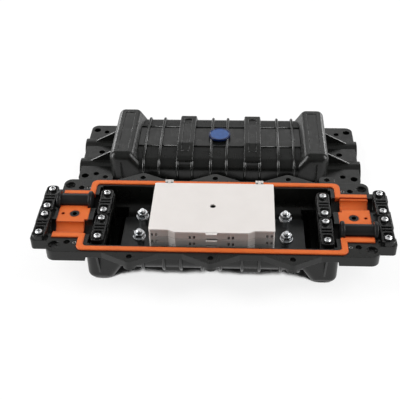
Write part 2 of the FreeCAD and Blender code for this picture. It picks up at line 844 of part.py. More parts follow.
def make_base_shell(pattern):
    """The base half's moulding: the common shell with rear lugs, clamp ledges, seal groove and bosses."""
    body = new_body("base_shell")
    body.BaseFeature = pattern
    rear_lugs = Drawing(body, "rear_lugs")
    for end in (-1, 1):
        middle = end * S.rear_lug_at
        tip = S.rear_lug_tip
        half = S.rear_lug_half_width
        bend = half - S.lug_rib_width
        rear_lugs.outline([
            (middle - half, S.flange_half_width - S.wall), (middle + half, S.flange_half_width - S.wall),
            (middle + half, tip, bend), (middle - half, tip, bend),
        ])
    rear_lugs.pad(S.flange_thick, reverse=True)
    ledges = Drawing(body, "clamp_ledges", offset=-S.ledge_drop)
    for end in (-1, 1):
        inner = end * (S.end_half_length - S.wall)
        outer = end * S.ledge_out
        ledges.outline([
            (inner, -S.ledge_half_width), (outer, -S.ledge_half_width, S.ledge_round),
            (outer, S.ledge_half_width, S.ledge_round), (inner, S.ledge_half_width),
        ])
    ledges.pad(S.ledge_depth, reverse=True)
    cable_ways = Drawing(body, "cable_ways", "YZ_Plane")
    for side in (-1, 1):
        cable_ways.half_disc(side * S.port_offset, S.saddle_channel_radius)
    cable_ways.pocket(2 * (S.ledge_out + S.wall), symmetric=True)
    recesses = Drawing(body, "plug_recesses", "YZ_Plane")
    for side in (-1, 1):
        recesses.half_disc(side * S.port_offset, S.port_recess_radius)
    recesses.pocket(2 * (S.end_half_length + S.barrel_overhang), symmetric=True)
    groove = Drawing(body, "seal_groove")
    seal_outlines(groove, S.seal_fit)
    groove.pocket(S.seal_depth)
    pad_bosses = Drawing(body, "pad_bosses", offset=-S.seal_depth)
    for end in (-1, 1):
        pad_bosses.circle(end * S.bolt_at, 0.0, S.pad_bolt_radius - 2 * S.seal_fit)
    pad_bosses.pad(S.seal_depth)
    blind = Drawing(body, "blind_holes")
    for end in (-1, 1):
        blind.circle(end * S.bolt_at, 0.0, S.bolt_bore_radius)
        blind.circle(end * S.rear_lug_at, S.lug_hole_out, S.lug_hole_radius)
        for side in (-1, 1):
            blind.circle(end * S.insert_x, side * S.insert_y, S.insert_radius)
        for y in clamp_screw_rows():
            blind.circle(end * S.outer_clamp_x, y, S.screw_radius + S.screw_hole_gap)
    blind.pocket(S.blind_hole_depth)
    bosses = Drawing(body, "bracket_bosses", offset=-(S.crown_depth - S.wall / 2))
    pilots = Drawing(body, "bracket_pilots", offset=-(S.bracket_top + S.bracket_thick))
    for x, y in bracket_screw_spots():
        bosses.circle(x, y, S.bracket_boss_radius)
        pilots.circle(x, y, S.screw_radius + S.screw_hole_gap)
    bosses.pad(S.crown_depth - S.wall / 2 - S.bracket_top - S.bracket_thick)
    pilots.pocket(S.crown_depth - S.wall - S.bracket_top - S.bracket_thick)
    merge_faces(body)
    place_on_base(body)


def make_cover_shell(pattern):
    """The cover half's moulding: the common shell with a shallow seal groove, turned over."""
    body = new_body("cover_shell")
    body.BaseFeature = pattern
    groove = Drawing(body, "seal_groove")
    seal_outlines(groove, S.seal_fit)
    groove.pocket(S.cover_groove_depth)
    seats = Drawing(body, "pad_seats")
    bolts = Drawing(body, "bolt_holes")
    for side in (-1, 1):
        pad_plan(seats, side, S.seal_fit)
        bolts.circle(side * S.bolt_at, 0.0, S.bolt_hole_radius)
    seats.pocket(S.seal_depth)
    bolts.pocket(S.end_depth + S.wall)
    merge_faces(body)
    place_on_cover(body)


def bracket_screw_spots():
    """The four screws that hold the bracket to the base."""
    return [(x, y) for x in both_sides(S.bracket_boss_x) for y in both_sides(S.bracket_boss_y)]


def clamp_screw_rows():
    """The distances across the closure of the four screws in each row of clamps."""
    near = S.port_offset - S.clamp_screw_spacing / 2
    far = S.port_offset + S.clamp_screw_spacing / 2
    return both_sides(near, far)


def port_bores(body):
    """The half-round ports through the pads."""
    ports = Drawing(body, "ports", "YZ_Plane")
    for side in (-1, 1):
        ports.half_disc(side * S.port_offset, S.port_radius)
    ports.pocket(2 * (S.pad_outer + S.wall), symmetric=True)


def saddle_rings(body, side):
    """The thick half rings of silicone under both ports at one end."""
    start = S.pad_inner if side > 0 else -S.pad_outer
    rings = Drawing(body, "port_rings", "YZ_Plane", start)
    for port in (-1, 1):
        rings.half_disc(port * S.port_offset, S.port_recess_radius - S.seal_fit)
    return rings.pad(S.pad_outer - S.pad_inner)


def make_base_seal():
    """The base's one-piece silicone seal: a ring with the port pads in it."""
    body = new_body("base_seal")
    ring = Drawing(body, "ring", offset=-S.seal_depth)
    seal_outlines(ring, 0.0)
    ring_pad = ring.pad(S.seal_depth + S.seal_proud)
    top = S.seal_proud.value
    dress("Fillet", body, ring_pad, S.seal_edge_round, lambda edge: all(
        abs(point.Z - top) < 0.01 for point in edge.Vertexes))
    level = Drawing(body, "pad_level", offset=S.seal_proud)
    for side in (-1, 1):
        level.rectangle(
            side * (S.pad_tongue_at - S.wall), -(S.pad_half_width - S.seal_width),
            side * (S.pad_outer + S.wall), S.pad_half_width - S.seal_width)
    level.pocket(S.seal_proud)
    for side in (-1, 1):
        saddle_rings(body, side)
    port_bores(body)
    holes = Drawing(body, "pad_bolt_holes", offset=S.seal_proud)
    for end in (-1, 1):
        holes.circle(end * S.bolt_at, 0.0, S.pad_bolt_radius)
        holes.circle(end * S.pin_at, 0.0, S.pin_hole_radius)
    holes.pocket(S.seal_depth + S.seal_proud)
    place_on_base(body)


def make_cover_port_seals():
    """The cover's silicone port pads, one at each end."""
    for label, side in (("cover_port_seal_left", -1), ("cover_port_seal_right", 1)):
        body = new_body(label)
        plan = Drawing(body, "pad")
        pad_plan(plan, side, 0.0)
        plan.pad(S.seal_depth, reverse=True)
        saddle_rings(body, side)
        port_bores(body)
        holes = Drawing(body, "pad_bolt_holes")
        holes.circle(side * S.bolt_at, 0.0, S.pad_bolt_radius)
        holes.circle(side * S.pin_at, 0.0, S.pin_hole_radius)
        holes.pocket(S.seal_depth)
        place_on_cover(body)


def make_port_plugs():
    """The two spool-shaped blanking plugs, lying in the left rear and right front ports."""
    half_body = (S.pad_outer - S.pad_inner) / 2 + S.plug_end_gap
    half_all = half_body + S.plug_flange_thick
    body_radius = S.port_radius - S.plug_fit
    middle = (S.pad_outer + S.pad_inner) / 2
    for label, end, side in (("port_plug_left", -1, 1), ("port_plug_right", 1, -1)):
        body = new_body(label)
        profile = Drawing(body, "spool")
        profile.outline([
            (-half_all, 0.0), (half_all, 0.0), (half_all, S.plug_flange_radius, S.plug_edge),
            (half_body, S.plug_flange_radius, S.plug_edge), (half_body, body_radius),
            (-half_body, body_radius), (-half_body, S.plug_flange_radius, S.plug_edge),
            (-half_all, S.plug_flange_radius, S.plug_edge),
        ])
        profile.spin("Revolution", "H_Axis")
        place_on_base(body, end * middle, side * S.port_offset)


def make_clamp_pattern():
    """A clamp bar: slot-shaped, with a ribbed middle and an arched underside."""
    body = new_body("clamp_pattern", keep=False)
    bar = Drawing(body, "bar")
    bar.slot(S.clamp_screw_spacing / 2, S.clamp_half_width)
    bar_pad = bar.pad(S.clamp_thick)
    top = S.clamp_thick.value
    dress("Fillet", body, bar_pad, S.clamp_edge, lambda edge: all(
        abs(point.Z - top) < 0.01 for point in edge.Vertexes))
    recess = Drawing(body, "recess", offset=S.clamp_thick)
    half = S.clamp_half_width - S.clamp_rim
    ridge = S.clamp_ridge_width / 2
    stops = [-S.clamp_recess_half_length]
    for step in (-1, 0, 1):
        stops += [step * S.clamp_ridge_pitch - ridge, step * S.clamp_ridge_pitch + ridge]
    stops.append(S.clamp_recess_half_length)
    for start, end in zip(stops[::2], stops[1::2]):
        recess.rectangle(-half, start, half, end)
    recess.pocket(S.clamp_recess)
    arch = Drawing(body, "arch", "YZ_Plane")
    arch.circle(0.0, S.clamp_arch_rise - S.clamp_arch_radius, S.clamp_arch_radius)
    arch.pocket(2 * (S.clamp_half_width + S.wall), symmetric=True)
    holes = Drawing(body, "screw_holes", offset=S.clamp_thick)
    for y_hole in both_sides(S.clamp_screw_spacing / 2):
        holes.circle(0.0, y_hole, S.screw_radius + S.screw_hole_gap)
    holes.pocket(S.clamp_thick)
    return body


def make_clamps():
    """Four outer clamps on the ledges and four inner ones on the saddles."""
    pattern = make_clamp_pattern()
    rows = (("outer", S.outer_clamp_x, -S.ledge_drop), ("inner", S.inner_clamp_x, -S.saddle_top))
    for name, x, seat in rows:
        for end, end_name in ((-1, "left"), (1, "right")):
            for side, side_name in ((-1, "front"), (1, "rear")):
                body = new_body(f"{name}_clamp_{end_name}_{side_name}")
                body.BaseFeature = pattern
                place_on_base(body, end * x, side * S.port_offset, seat)


def make_screw_pattern(name, length):
    """A pan-head screw with a cross recess, seated at z = 0."""
    body = new_body(name, keep=False)
    profile = Drawing(body, "turned", "XZ_Plane")
    profile.outline([
        (0.0, S.screw_head_height), (0.0, -length), (S.screw_radius - S.screw_slot_width, -length),
        (S.screw_radius, -(length - S.screw_radius)), (S.screw_radius, 0.0), (S.screw_head_radius, 0.0),
        (S.screw_head_radius, S.screw_head_height - S.screw_crown, S.screw_crown / 2),
        (S.screw_head_radius - 2 * S.screw_crown, S.screw_head_height),
    ])
    profile.spin("Revolution", "V_Axis")
    for half_x, half_y in ((S.screw_slot_length / 2, S.screw_slot_width / 2),
                           (S.screw_slot_width / 2, S.screw_slot_length / 2)):
        cross = Drawing(body, "cross", offset=S.screw_head_height)
        cross.rectangle(-half_x, -half_y, half_x, half_y)
        cross.pocket(S.screw_slot_depth)
    return body


def make_screws():
    """The screws of both rows of clamps and of the bracket."""
    pattern = make_screw_pattern("clamp_screw_pattern", S.screw_length)
    rows = (("outer_clamp_screws", S.outer_clamp_x, S.clamp_thick - S.ledge_drop),
            ("inner_clamp_screws", S.inner_clamp_x, S.clamp_thick - S.saddle_top))
    for label, x, z in rows:
        spots = [(end_x, y, z) for end_x in both_sides(x) for y in clamp_screw_rows()]
        place_on_base(group(label, pattern, spots))
    spots = [(x, y, -S.bracket_top) for x, y in bracket_screw_spots()]
    short = make_screw_pattern("bracket_screw_pattern", S.bracket_screw_length)
    place_on_base(group("bracket_screws", short, spots))


def make_inner_saddles():
    """The saddle blocks that carry the inner clamps."""
    bottom = -(S.foot_depth - S.wall - S.saddle_foot_gap)
    top = -S.saddle_top
    for label, end in (("inner_saddle_left", -1), ("inner_saddle_right", 1)):
        body = new_body(label)
        head_bottom = -(S.saddle_channel_radius + S.saddle_leg_width / 2)
        head = Drawing(body, "head", "YZ_Plane")
        head.rectangle(-S.saddle_half_width, head_bottom, S.saddle_half_width, top)
        head.pad(2 * S.saddle_half_length, symmetric=True)
        ways = Drawing(body, "cable_ways", "YZ_Plane")
        for side in (-1, 1):
            ways.half_disc(side * S.port_offset, S.saddle_channel_radius)
        ways.pocket(4 * S.saddle_half_length, symmetric=True)
        legs = Drawing(body, "legs", offset=bottom)
        half_leg = S.saddle_leg_width / 2
        leg_out = S.saddle_half_width - half_leg
        for middle in (-leg_out, as_size(0.0), leg_out):
            legs.rectangle(-S.saddle_leg_half_length, middle - half_leg,
                           S.saddle_leg_half_length, middle + half_leg)
        legs.pad(head_bottom - bottom)
        holes = Drawing(body, "screw_holes", offset=top)
        for y in clamp_screw_rows():
            holes.circle(0.0, y, S.screw_radius + S.screw_hole_gap)
        holes.pocket(S.screw_length)
        place_on_base(body, end * S.inner_clamp_x)


def make_corner_inserts():
    """The threaded metal inserts beside the corners of the seal."""
    pattern = new_body("insert_pattern", keep=False)
    tube = Drawing(pattern, "tube", offset=-S.insert_sunk)
    tube.circle(0.0, 0.0, S.insert_radius)
    tube.circle(0.0, 0.0, S.insert_bore)
    tube.pad(S.insert_length, reverse=True)
    spots = [(x, y, 0.0) for x in both_sides(S.insert_x) for y in both_sides(S.insert_y)]
    place_on_base(group("corner_inserts", pattern, spots))


def make_tray_bracket():
    """The bracket plate with two pressed rails that carry the trays."""
    body = new_body("tray_bracket")
    plate = Drawing(body, "plate", offset=-(S.bracket_top + S.bracket_thick))
    plate.rectangle(-S.bracket_half_length, -S.bracket_half_width,
                    S.bracket_half_length, S.bracket_half_width, S.bracket_round)
    plate.pad(S.bracket_thick)
    rails = Drawing(body, "rails", offset=-(S.bracket_top + S.bracket_thick))
    hollows = Drawing(body, "rail_hollows", offset=-(S.bracket_top + S.bracket_thick))
    inner_half = S.bracket_rail_half_width - S.bracket_thick
    for x in both_sides(S.bracket_rail_x):
        rails.rectangle(x - S.bracket_rail_half_width, -S.bracket_half_width,
                        x + S.bracket_rail_half_width, S.bracket_half_width)
        hollows.rectangle(x - inner_half, -S.bracket_half_width, x + inner_half, S.bracket_half_width)
    rail_height = S.bracket_top - S.tray_bottom + S.bracket_thick - S.tray_gap
    rails.pad(rail_height)
    hollows.pocket(rail_height - S.bracket_thick, reverse=True)
    holes = Drawing(body, "holes", offset=-S.bracket_top)
    for x, y in bracket_screw_spots():
        holes.circle(x, y, S.screw_radius + S.screw_hole_gap)
    for x, y in stud_spots():
        holes.circle(x, y, S.stud_radius + S.stud_fit)
    holes.pocket(S.bracket_thick)
    merge_faces(body)
    place_on_base(body)


def stud_spots():
    """The four posts that hold the cables' strength members."""
    return [(x, y) for x in both_sides(S.stud_x) for y in both_sides(S.stud_y)]


def turned_ring(pattern, name, inner, outer, bottom, height):
    """A plain ring about the vertical axis."""
    ring = Drawing(pattern, name, offset=bottom)
    ring.circle(0.0, 0.0, outer)
    ring.circle(0.0, 0.0, inner)
    ring.pad(height)


def make_posts():
    """Studs, collars, washers and nuts of the four strength member posts."""
    stud = new_body("stud_pattern", keep=False)
    foot = -(S.bracket_top + S.bracket_thick)
    head = foot - S.stud_head_thick
    profile = Drawing(stud, "turned", "XZ_Plane")
    profile.outline([
        (0.0, head), (S.stud_head_radius, head), (S.stud_head_radius, foot), (S.stud_radius, foot),
        (S.stud_radius, -(S.stud_top + S.stud_chamfer)), (S.stud_radius - S.stud_chamfer, -S.stud_top),
        (0.0, -S.stud_top),
    ])
    profile.spin("Revolution", "V_Axis")
    bore = S.stud_radius + S.stud_fit
    washers_bottom = -(S.nut_bottom + 2 * S.washer_thick)
    collar = new_body("collar_pattern", keep=False)
    turned_ring(collar, "collar", bore, S.collar_radius, -S.bracket_top, S.bracket_top + washers_bottom)
    washer = new_body("washer_pattern", keep=False)
    turned_ring(washer, "washer", bore, S.washer_radius, 0.0, S.washer_thick)
    nut = new_body("nut_pattern", keep=False)
    hexagon = Drawing(nut, "hexagon", offset=-S.nut_bottom)
    corner = S.nut_across / (2 * math.cos(math.pi / 6))
    hexagon.outline([(corner * math.cos(math.radians(60 * step)), corner * math.sin(math.radians(60 * step)))
                     for step in range(6)])
    hexagon.circle(0.0, 0.0, bore)
    hexagon.pad(S.nut_height)
    bevel = Drawing(nut, "bevel", "XZ_Plane")
    top = S.nut_height - S.nut_bottom
    bevel.outline([
        (S.nut_across / 2 - S.nut_bevel_in, top), (corner + S.nut_bevel, top),
        (corner + S.nut_bevel, top - S.nut_bevel),
    ])
    bevel.spin("Groove", "V_Axis")
    spots = [(x, y, 0.0) for x, y in stud_spots()]
    washer_levels = (washers_bottom, washers_bottom + S.washer_thick)
    washer_spots = [(x, y, level) for x, y in stud_spots() for level in washer_levels]
    for label, pattern, places in (("post_studs", stud, spots), ("post_collars", collar, spots),
                                   ("post_washers", washer, washer_spots), ("post_nuts", nut, spots)):
        place_on_base(group(label, pattern, places))


def tray_plan(drawing, inset):
    """The plan of a tray, drawn in by inset: a rectangle with a shallow bulge along the front."""
    length = S.tray_half_length - inset
    width = S.tray_half_width - inset
    front = -(S.tray_half_width + S.tray_bulge - inset)
    bend = S.tray_corner_round
    drawing.outline([
        (-length, width, bend), (-length, -width, bend),
        (-S.tray_bulge_foot, -width), (-S.tray_bulge_half, front),
        (S.tray_bulge_half, front), (S.tray_bulge_foot, -width),
        (length, -width, bend), (length, width, bend),
    ])


def finger_tab(body):
    """The tab on the middle of the front edge, by which a tray or the lid is lifted."""
    front = -(S.tray_half_width + S.tray_bulge)
    tip = S.tab_half_width - S.tab_taper
    tab = Drawing(body, "finger_tab")
    tab.outline([
        (-S.tab_half_width, front + S.tray_wall), (-S.tab_half_width, front), (-tip, front - S.tab_reach),
        (tip, front - S.tab_reach), (S.tab_half_width, front), (S.tab_half_width, front + S.tray_wall),
    ])
    tab.pad(S.tray_floor)


def hinge_ears(body):
    """The forked ears on the rear wall, which carry the tray or lid above."""
    axis_y = S.tray_half_width + S.hinge_back
    axis_z = S.tray_pitch + S.hinge_rise
    root = S.tray_half_width - S.tray_lip - S.tray_wall / 2
    shoulder = S.tray_pitch - 2 * S.tray_lip
    bend = S.hinge_radius - S.hinge_flat
    gap = S.hinge_knuckle_half_width + S.hinge_side_gap
    for middle in both_sides(S.hinge_x):
        for start in (middle - gap - S.hinge_ear_width, middle + gap):
            ear = Drawing(body, "hinge_ear", "YZ_Plane", start)
            ear.outline([
                (root, S.hinge_ear_start), (axis_y + S.hinge_radius, S.hinge_ear_start),
                (axis_y + S.hinge_radius, axis_z + S.hinge_radius, bend),
                (axis_y - S.hinge_radius, axis_z + S.hinge_radius, bend),
                (axis_y - S.hinge_radius, shoulder), (root, shoulder),
            ])
            ear.circle(axis_y, axis_z, S.hinge_pin_radius + S.hinge_pin_fit)
            ear.pad(S.hinge_ear_width)


def hinge_knuckles(body, height):
    """The rear knuckles with their pins, which turn in the ears of the tray below."""
    axis_y = S.tray_half_width + S.hinge_back
    root = S.tray_half_width - S.tray_lip - S.tray_wall / 2
    bend = S.hinge_radius - S.hinge_flat
    low = S.hinge_rise - S.hinge_radius
    high = S.hinge_rise + S.hinge_radius
    half = S.hinge_knuckle_half_width
    pin_half = half + S.hinge_ear_width
    for middle in both_sides(S.hinge_x):
        knuckle = Drawing(body, "knuckle", "YZ_Plane", middle - half)
        knuckle.outline([
            (root, low), (axis_y + S.hinge_radius, low, bend), (axis_y + S.hinge_radius, high, bend),
            (axis_y - S.hinge_radius / 2, high), (root, height),
        ])
        knuckle.pad(2 * half)
        pin = Drawing(body, "hinge_pin", "YZ_Plane", middle - pin_half)
        pin.circle(axis_y, S.hinge_rise, S.hinge_pin_radius)
        pin.pad(2 * pin_half)


def make_tray_pattern():
    """A splice tray: floor, rim, fibre spools, cable mouths, tie slots and hinge ears."""
    body = new_body("tray_pattern", keep=False)
    height = S.tray_pitch - S.tray_gap
    floor = Drawing(body, "floor")
    tray_plan(floor, as_size(0.0))
    floor.pad(S.tray_floor)
    rim = Drawing(body, "rim")
    tray_plan(rim, S.tray_lip)
    tray_plan(rim, S.tray_lip + S.tray_wall)
    rim.pad(height)
    guides = Drawing(body, "guides")
    for x in both_sides(S.tray_spool_x):
        guides.circle(x, 0.0, S.tray_spool_radius)
        guides.circle(x, 0.0, S.tray_spool_radius - S.tray_spool_wall)
    guides.pad(S.tray_floor + S.tray_spool_height)
    finger_tab(body)
    hole = Drawing(body, "middle_hole", offset=height)
    hole.circle(0.0, 0.0, S.tray_hole_radius)
    hole.pocket(height)
    mouths = Drawing(body, "mouths", offset=height)
    depth_in = S.tray_lip + 2 * S.tray_wall
    for end in (-1, 1):
        for y in both_sides(S.tray_mouth_y):
            mouths.rectangle(
                end * (S.tray_half_length - depth_in), y - S.tray_mouth_half_width,
                end * (S.tray_half_length + S.tray_wall), y + S.tray_mouth_half_width)
    mouths.pocket(height - S.tray_floor)
    slots = Drawing(body, "tie_slots", "XZ_Plane", S.tray_half_width + S.tray_bulge + S.tray_wall)
    for x in both_sides(S.tray_slot_outer, S.tray_slot_inner):
        for step in (-1, 1):
            middle = x + step * S.tray_slot_pitch / 2
            slots.rectangle(middle - S.tray_slot_width / 2, S.tray_slot_rise,
                            middle + S.tray_slot_width / 2, S.tray_slot_rise + S.tray_slot_height)
    slots.pocket(S.tray_bulge + S.tray_lip + 3 * S.tray_wall)
    hinge_ears(body)
    merge_faces(body)
    return body


def make_hinged_tray_pattern(tray):
    """A tray with the knuckles that turn in the tray below."""
    body = new_body("hinged_tray_pattern", keep=False)
    body.BaseFeature = tray
    hinge_knuckles(body, S.tray_pitch / 2)
    return body


def make_tray_lid():
    """The flat lid over the top tray."""
    body = new_body("tray_lid")
    plate = Drawing(body, "plate")
    tray_plan(plate, as_size(0.0))
    plate.circle(0.0, 0.0, S.tray_hole_radius)
    plate.pad(S.lid_thick)
    finger_tab(body)
    hinge_knuckles(body, S.lid_thick)
    merge_faces(body)
    place_on_base(body, z=S.tray_count * S.tray_pitch - S.tray_bottom)


def make_splice_holder(number):
    """One comb of grooves for splice sleeves, standing on a tray's floor."""
    body = new_body(f"splice_holder_{number}")
    block = Drawing(body, "block")
    block.rectangle(-S.holder_half_length, -S.holder_half_width, S.holder_half_length, S.holder_half_width)
    block.pad(S.holder_height)
    grooves = Drawing(body, "grooves", offset=S.holder_height)
    count = SIZES["holder_slot_count"]
    for index in range(count):
        middle = (index - (count - 1) / 2) * S.holder_slot_pitch
        grooves.rectangle(-S.holder_half_length, middle - S.holder_slot_width / 2,
                          S.holder_half_length, middle + S.holder_slot_width / 2)
    grooves.pocket(S.holder_height - S.holder_base)
    place_on_base(body, y=S.holder_y, z=(number - 1) * S.tray_pitch + S.tray_floor - S.tray_bottom)


def make_trays():
    """The stack of trays with their splice holders and the lid."""
    fixed = make_tray_pattern()
    hinged = make_hinged_tray_pattern(fixed)
    for number in range(1, SIZES["tray_count"] + 1):
        tray = new_body(f"splice_tray_{number}")
        tray.BaseFeature = fixed if number == 1 else hinged
        place_on_base(tray, z=(number - 1) * S.tray_pitch - S.tray_bottom)
        make_splice_holder(number)
    make_tray_lid()


def make_cover_badge():
    """The bare round badge, resting on the two middle ribs of the cover's crown."""
    body = new_body("cover_badge")
    seat = -(S.crown_depth + S.rib_rise)
    top = seat - S.badge_thick
    profile = Drawing(body, "turned", "XZ_Plane")
    profile.outline([
        (0.0, seat), (S.badge_radius, seat), (S.badge_radius, top, S.badge_edge),
        (S.badge_radius - S.badge_rim, top, S.badge_edge),
        (S.badge_radius - S.badge_rim - S.badge_sink, top + S.badge_sink),
        (0.0, top + S.badge_sink),
    ])
    profile.spin("Revolution", "V_Axis")
    place_on_cover(body)


def write_nodes():
    """Check every object, then write each node's file."""
    failed = [item.Name for item in DOC.Objects if {"Invalid", "Error"} & set(item.State)]
    if failed:
        raise RuntimeError(f"failed objects: {failed}")
    for node in NODES:
        if node.Shape.isNull() or not node.Shape.isValid():
            raise RuntimeError(f"bad shape: {node.Label}")
    os.makedirs("parts", exist_ok=True)
    for node in NODES:
        node.Shape.exportStep(f"parts/{node.Label}.step")


def main():
    fill_sheet()
    shell = make_shell_pattern()
    make_base_shell(shell)
    make_cover_shell(shell)
    make_base_seal()
    make_cover_port_seals()
    make_port_plugs()
    make_clamps()
    make_screws()
    make_inner_saddles()
    make_corner_inserts()
    make_tray_bracket()
    make_posts()
    make_trays()
    make_cover_badge()
    DOC.recompute()
    write_nodes()


main()
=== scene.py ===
import math

import bmesh
import bpy
from mathutils import Matrix, Vector


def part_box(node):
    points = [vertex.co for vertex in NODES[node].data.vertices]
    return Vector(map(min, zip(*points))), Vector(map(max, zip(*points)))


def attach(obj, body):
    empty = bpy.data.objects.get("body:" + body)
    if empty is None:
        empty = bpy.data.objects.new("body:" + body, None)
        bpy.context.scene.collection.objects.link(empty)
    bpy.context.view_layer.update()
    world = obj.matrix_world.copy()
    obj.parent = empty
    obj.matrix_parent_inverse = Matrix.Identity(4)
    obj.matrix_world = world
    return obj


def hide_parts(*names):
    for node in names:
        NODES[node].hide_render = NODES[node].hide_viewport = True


# Looks of the opened inline splice closure. Metres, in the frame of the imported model.
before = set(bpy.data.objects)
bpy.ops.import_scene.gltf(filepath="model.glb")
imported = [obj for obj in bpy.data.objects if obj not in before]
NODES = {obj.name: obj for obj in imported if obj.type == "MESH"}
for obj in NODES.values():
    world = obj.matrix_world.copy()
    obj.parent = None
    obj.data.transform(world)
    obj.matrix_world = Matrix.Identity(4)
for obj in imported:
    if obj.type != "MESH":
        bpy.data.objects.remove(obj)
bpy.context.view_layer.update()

# Camera, from the vanishing directions and known sizes of the photographed object
CAMERA_PLACE = (0.03675, -0.9046, 0.7149)
CAMERA_RIGHT = (0.9985, 0.0509, -0.0198)
CAMERA_UP = (-0.0159, 0.6178, 0.7862)
CAMERA_BACK = (0.0522, -0.7847, 0.6177)
CAMERA_LENS_MM = 70.9
SENSOR_MM = 36.0

# How many steps a curve is divided into
CORNER_STEPS = 7
CIRCLE_STEPS = 28
BEAD_STEPS = 14
SHOULDER_STEPS = 12
STUD_STEPS = 24
THREAD_STEPS = 6

# Clamp bars: a rim round two screw wells and three ridges
BAR_CORNER = 0.0062
BAR_EDGE = 0.0007
BAR_EDGE_MIDDLE = 0.3 * BAR_EDGE
BAR_SIDE_STEPS = 24
BAR_RIM = 0.0016
BAR_WELL_DEPTH = 0.0025
BAR_WELL_DRAFT = 0.0003
BAR_WELL_BEND = 0.0042
BAR_GROOVE_BEND = 0.0006
BAR_RIDGE_PITCH = 0.0058
BAR_RIDGE_WIDTH = 0.0026
BAR_SCREW_OUT = 0.0183
BAR_BOSS_RADIUS = 0.0046
BAR_ARCH_RADIUS = 0.016
BAR_ARCH_RISE = 0.0024

# The two half shells: name, place of the mating face, and which way the shell goes from it
HALVES = (("base", (0.0, -0.102, 0.057), -1.0), ("cover", (0.0023, 0.102, 0.0), 1.0))

# Rounded ribs over the trunk of each half, along its section
RIB_X = (0.0116, 0.088, 0.111)
BAND_RIB_X = (0.0391, 0.0609)
RIB_RADIUS = 0.0022
RIB_LIFT = 0.0014
RIB_ROOT = 0.0085
TRUNK_HALF = 0.065
SHOULDER_DEPTH = 0.040
SHOULDER_BEND = 0.016
CROWN_DEPTH = 0.046
CROWN_HALF = 0.026

# Crease lines along the crown, and the lines round the panels on bands and feet
CREASE_HALF = 0.122
CREASE_LIFT = 0.0005
CREASE_RADIUS = 0.0011
LINE_RADIUS = 0.0006
BAND_PANEL_X = (0.044, 0.056)
BAND_PANEL_HALF = 0.044
BAND_PANEL_DEPTH = 0.0531
BAND_PANEL_DROP = 0.0031
FOOT_PANEL_X = (0.134, 0.1495)
FOOT_PANEL_HALF = 0.052
FOOT_PANEL_DEPTH = 0.0564

# Threaded studs of the posts. The thread's rings start a small share of a step over the head.
STUD_X = 0.0965
STUD_Y = (-0.123, -0.081)
STUD_RADIUS = 0.0039
STUD_HEAD_RADIUS = 0.006
STUD_HEAD_THICK = 0.002
STUD_CHAMFER = 0.0009
STUD_NECK = (0.0251, 0.0267)
STUD_NECK_RADIUS = 0.0026
THREAD_PITCH = 0.00125
THREAD_DEPTH = 0.0006
THREAD_START = 0.02

# Streaks of the plastic's flow: fine across the object, long from front to rear
FLOW_STREAK = (1.0, 0.04, 1.0)
NOISE_ROUGHNESS = 0.55

# Samples of the nodes that look round a point
BEVEL_SAMPLES = 6
SHADE_SAMPLES = 8

# Painted shade in hollows: how far a hollow is felt, and the span of openness from full painted shade to none
SLOT_REACH = 0.004
SLOT_SPAN = (0.55, 0.85)
SEAL_REACH = 0.012
SEAL_SPAN = (0.42, 0.90)
RECESS_REACH = 0.003
RECESS_SPAN = (0.35, 0.75)

# How far an edge is felt in the softened normals, and how far the seal's painted shade along its edges
# reaches
SEAL_EDGE_SHADE = 0.0030
SEAL_EDGE = 0.0006
BADGE_EDGE = 0.0006
METAL_EDGE = 0.0003

# The badge's dark rim: where it starts and where it is full, as shares of the badge's radius
BADGE_RIM = (0.81, 0.86)

# Colours of the black shells, which the ribs share
SHELL_DARK = (0.0055, 0.0058, 0.0052)
SHELL_LIGHT = (0.0085, 0.0090, 0.0080)
# Lighter edge colour: partly wear, partly painted highlight
SHELL_EDGE_WEAR_AND_HIGHLIGHT = (0.060, 0.060, 0.057)

# Floor: its own grey, the lift that shows it white, and the painted contact shadow where the lift fades close
# under the object
FLOOR_COLOUR = 0.20
FLOOR_LIFT = 0.82
FLOOR_SIZE = 80.0
FLOOR_HEIGHT = -0.0004
FLOOR_SHADE_REACH = 0.032
FLOOR_SHADE_SPAN = (0.25, 0.29)
FLOOR_SHADE_SAMPLES = 48

# Surround: its brightness at the horizon and overhead, and how high the change between them is
SKY_AT_HORIZON = 1.0
SKY_OVERHEAD = 0.24
SKY_CHANGE = (0.02, 0.14)
WHITE = (1.0, 1.0, 1.0, 1.0)

# Soft boxes: name, place, aim, width, height and watts
AIM = (0.0, 0.0, 0.05)
LAMPS = (
    ("back", (0.0, 1.3, 0.9), AIM, 1.8, 0.5, 3.2),
    ("left", (-1.2, -0.1, 0.75), AIM, 0.6, 1.1, 15.6),
    ("right", (1.2, -0.1, 0.75), AIM, 0.6, 1.1, 15.6),
    ("low_left", (-1.5, -0.4, 0.25), (0.0, -0.1, 0.05), 0.4, 0.3, 5.0),
    ("rear_left", (-1.3, 1.7, 0.40), AIM, 0.4, 0.4, 4.0),
    ("rear_right", (1.3, 1.7, 0.40), AIM, 0.4, 0.4, 4.0),
)


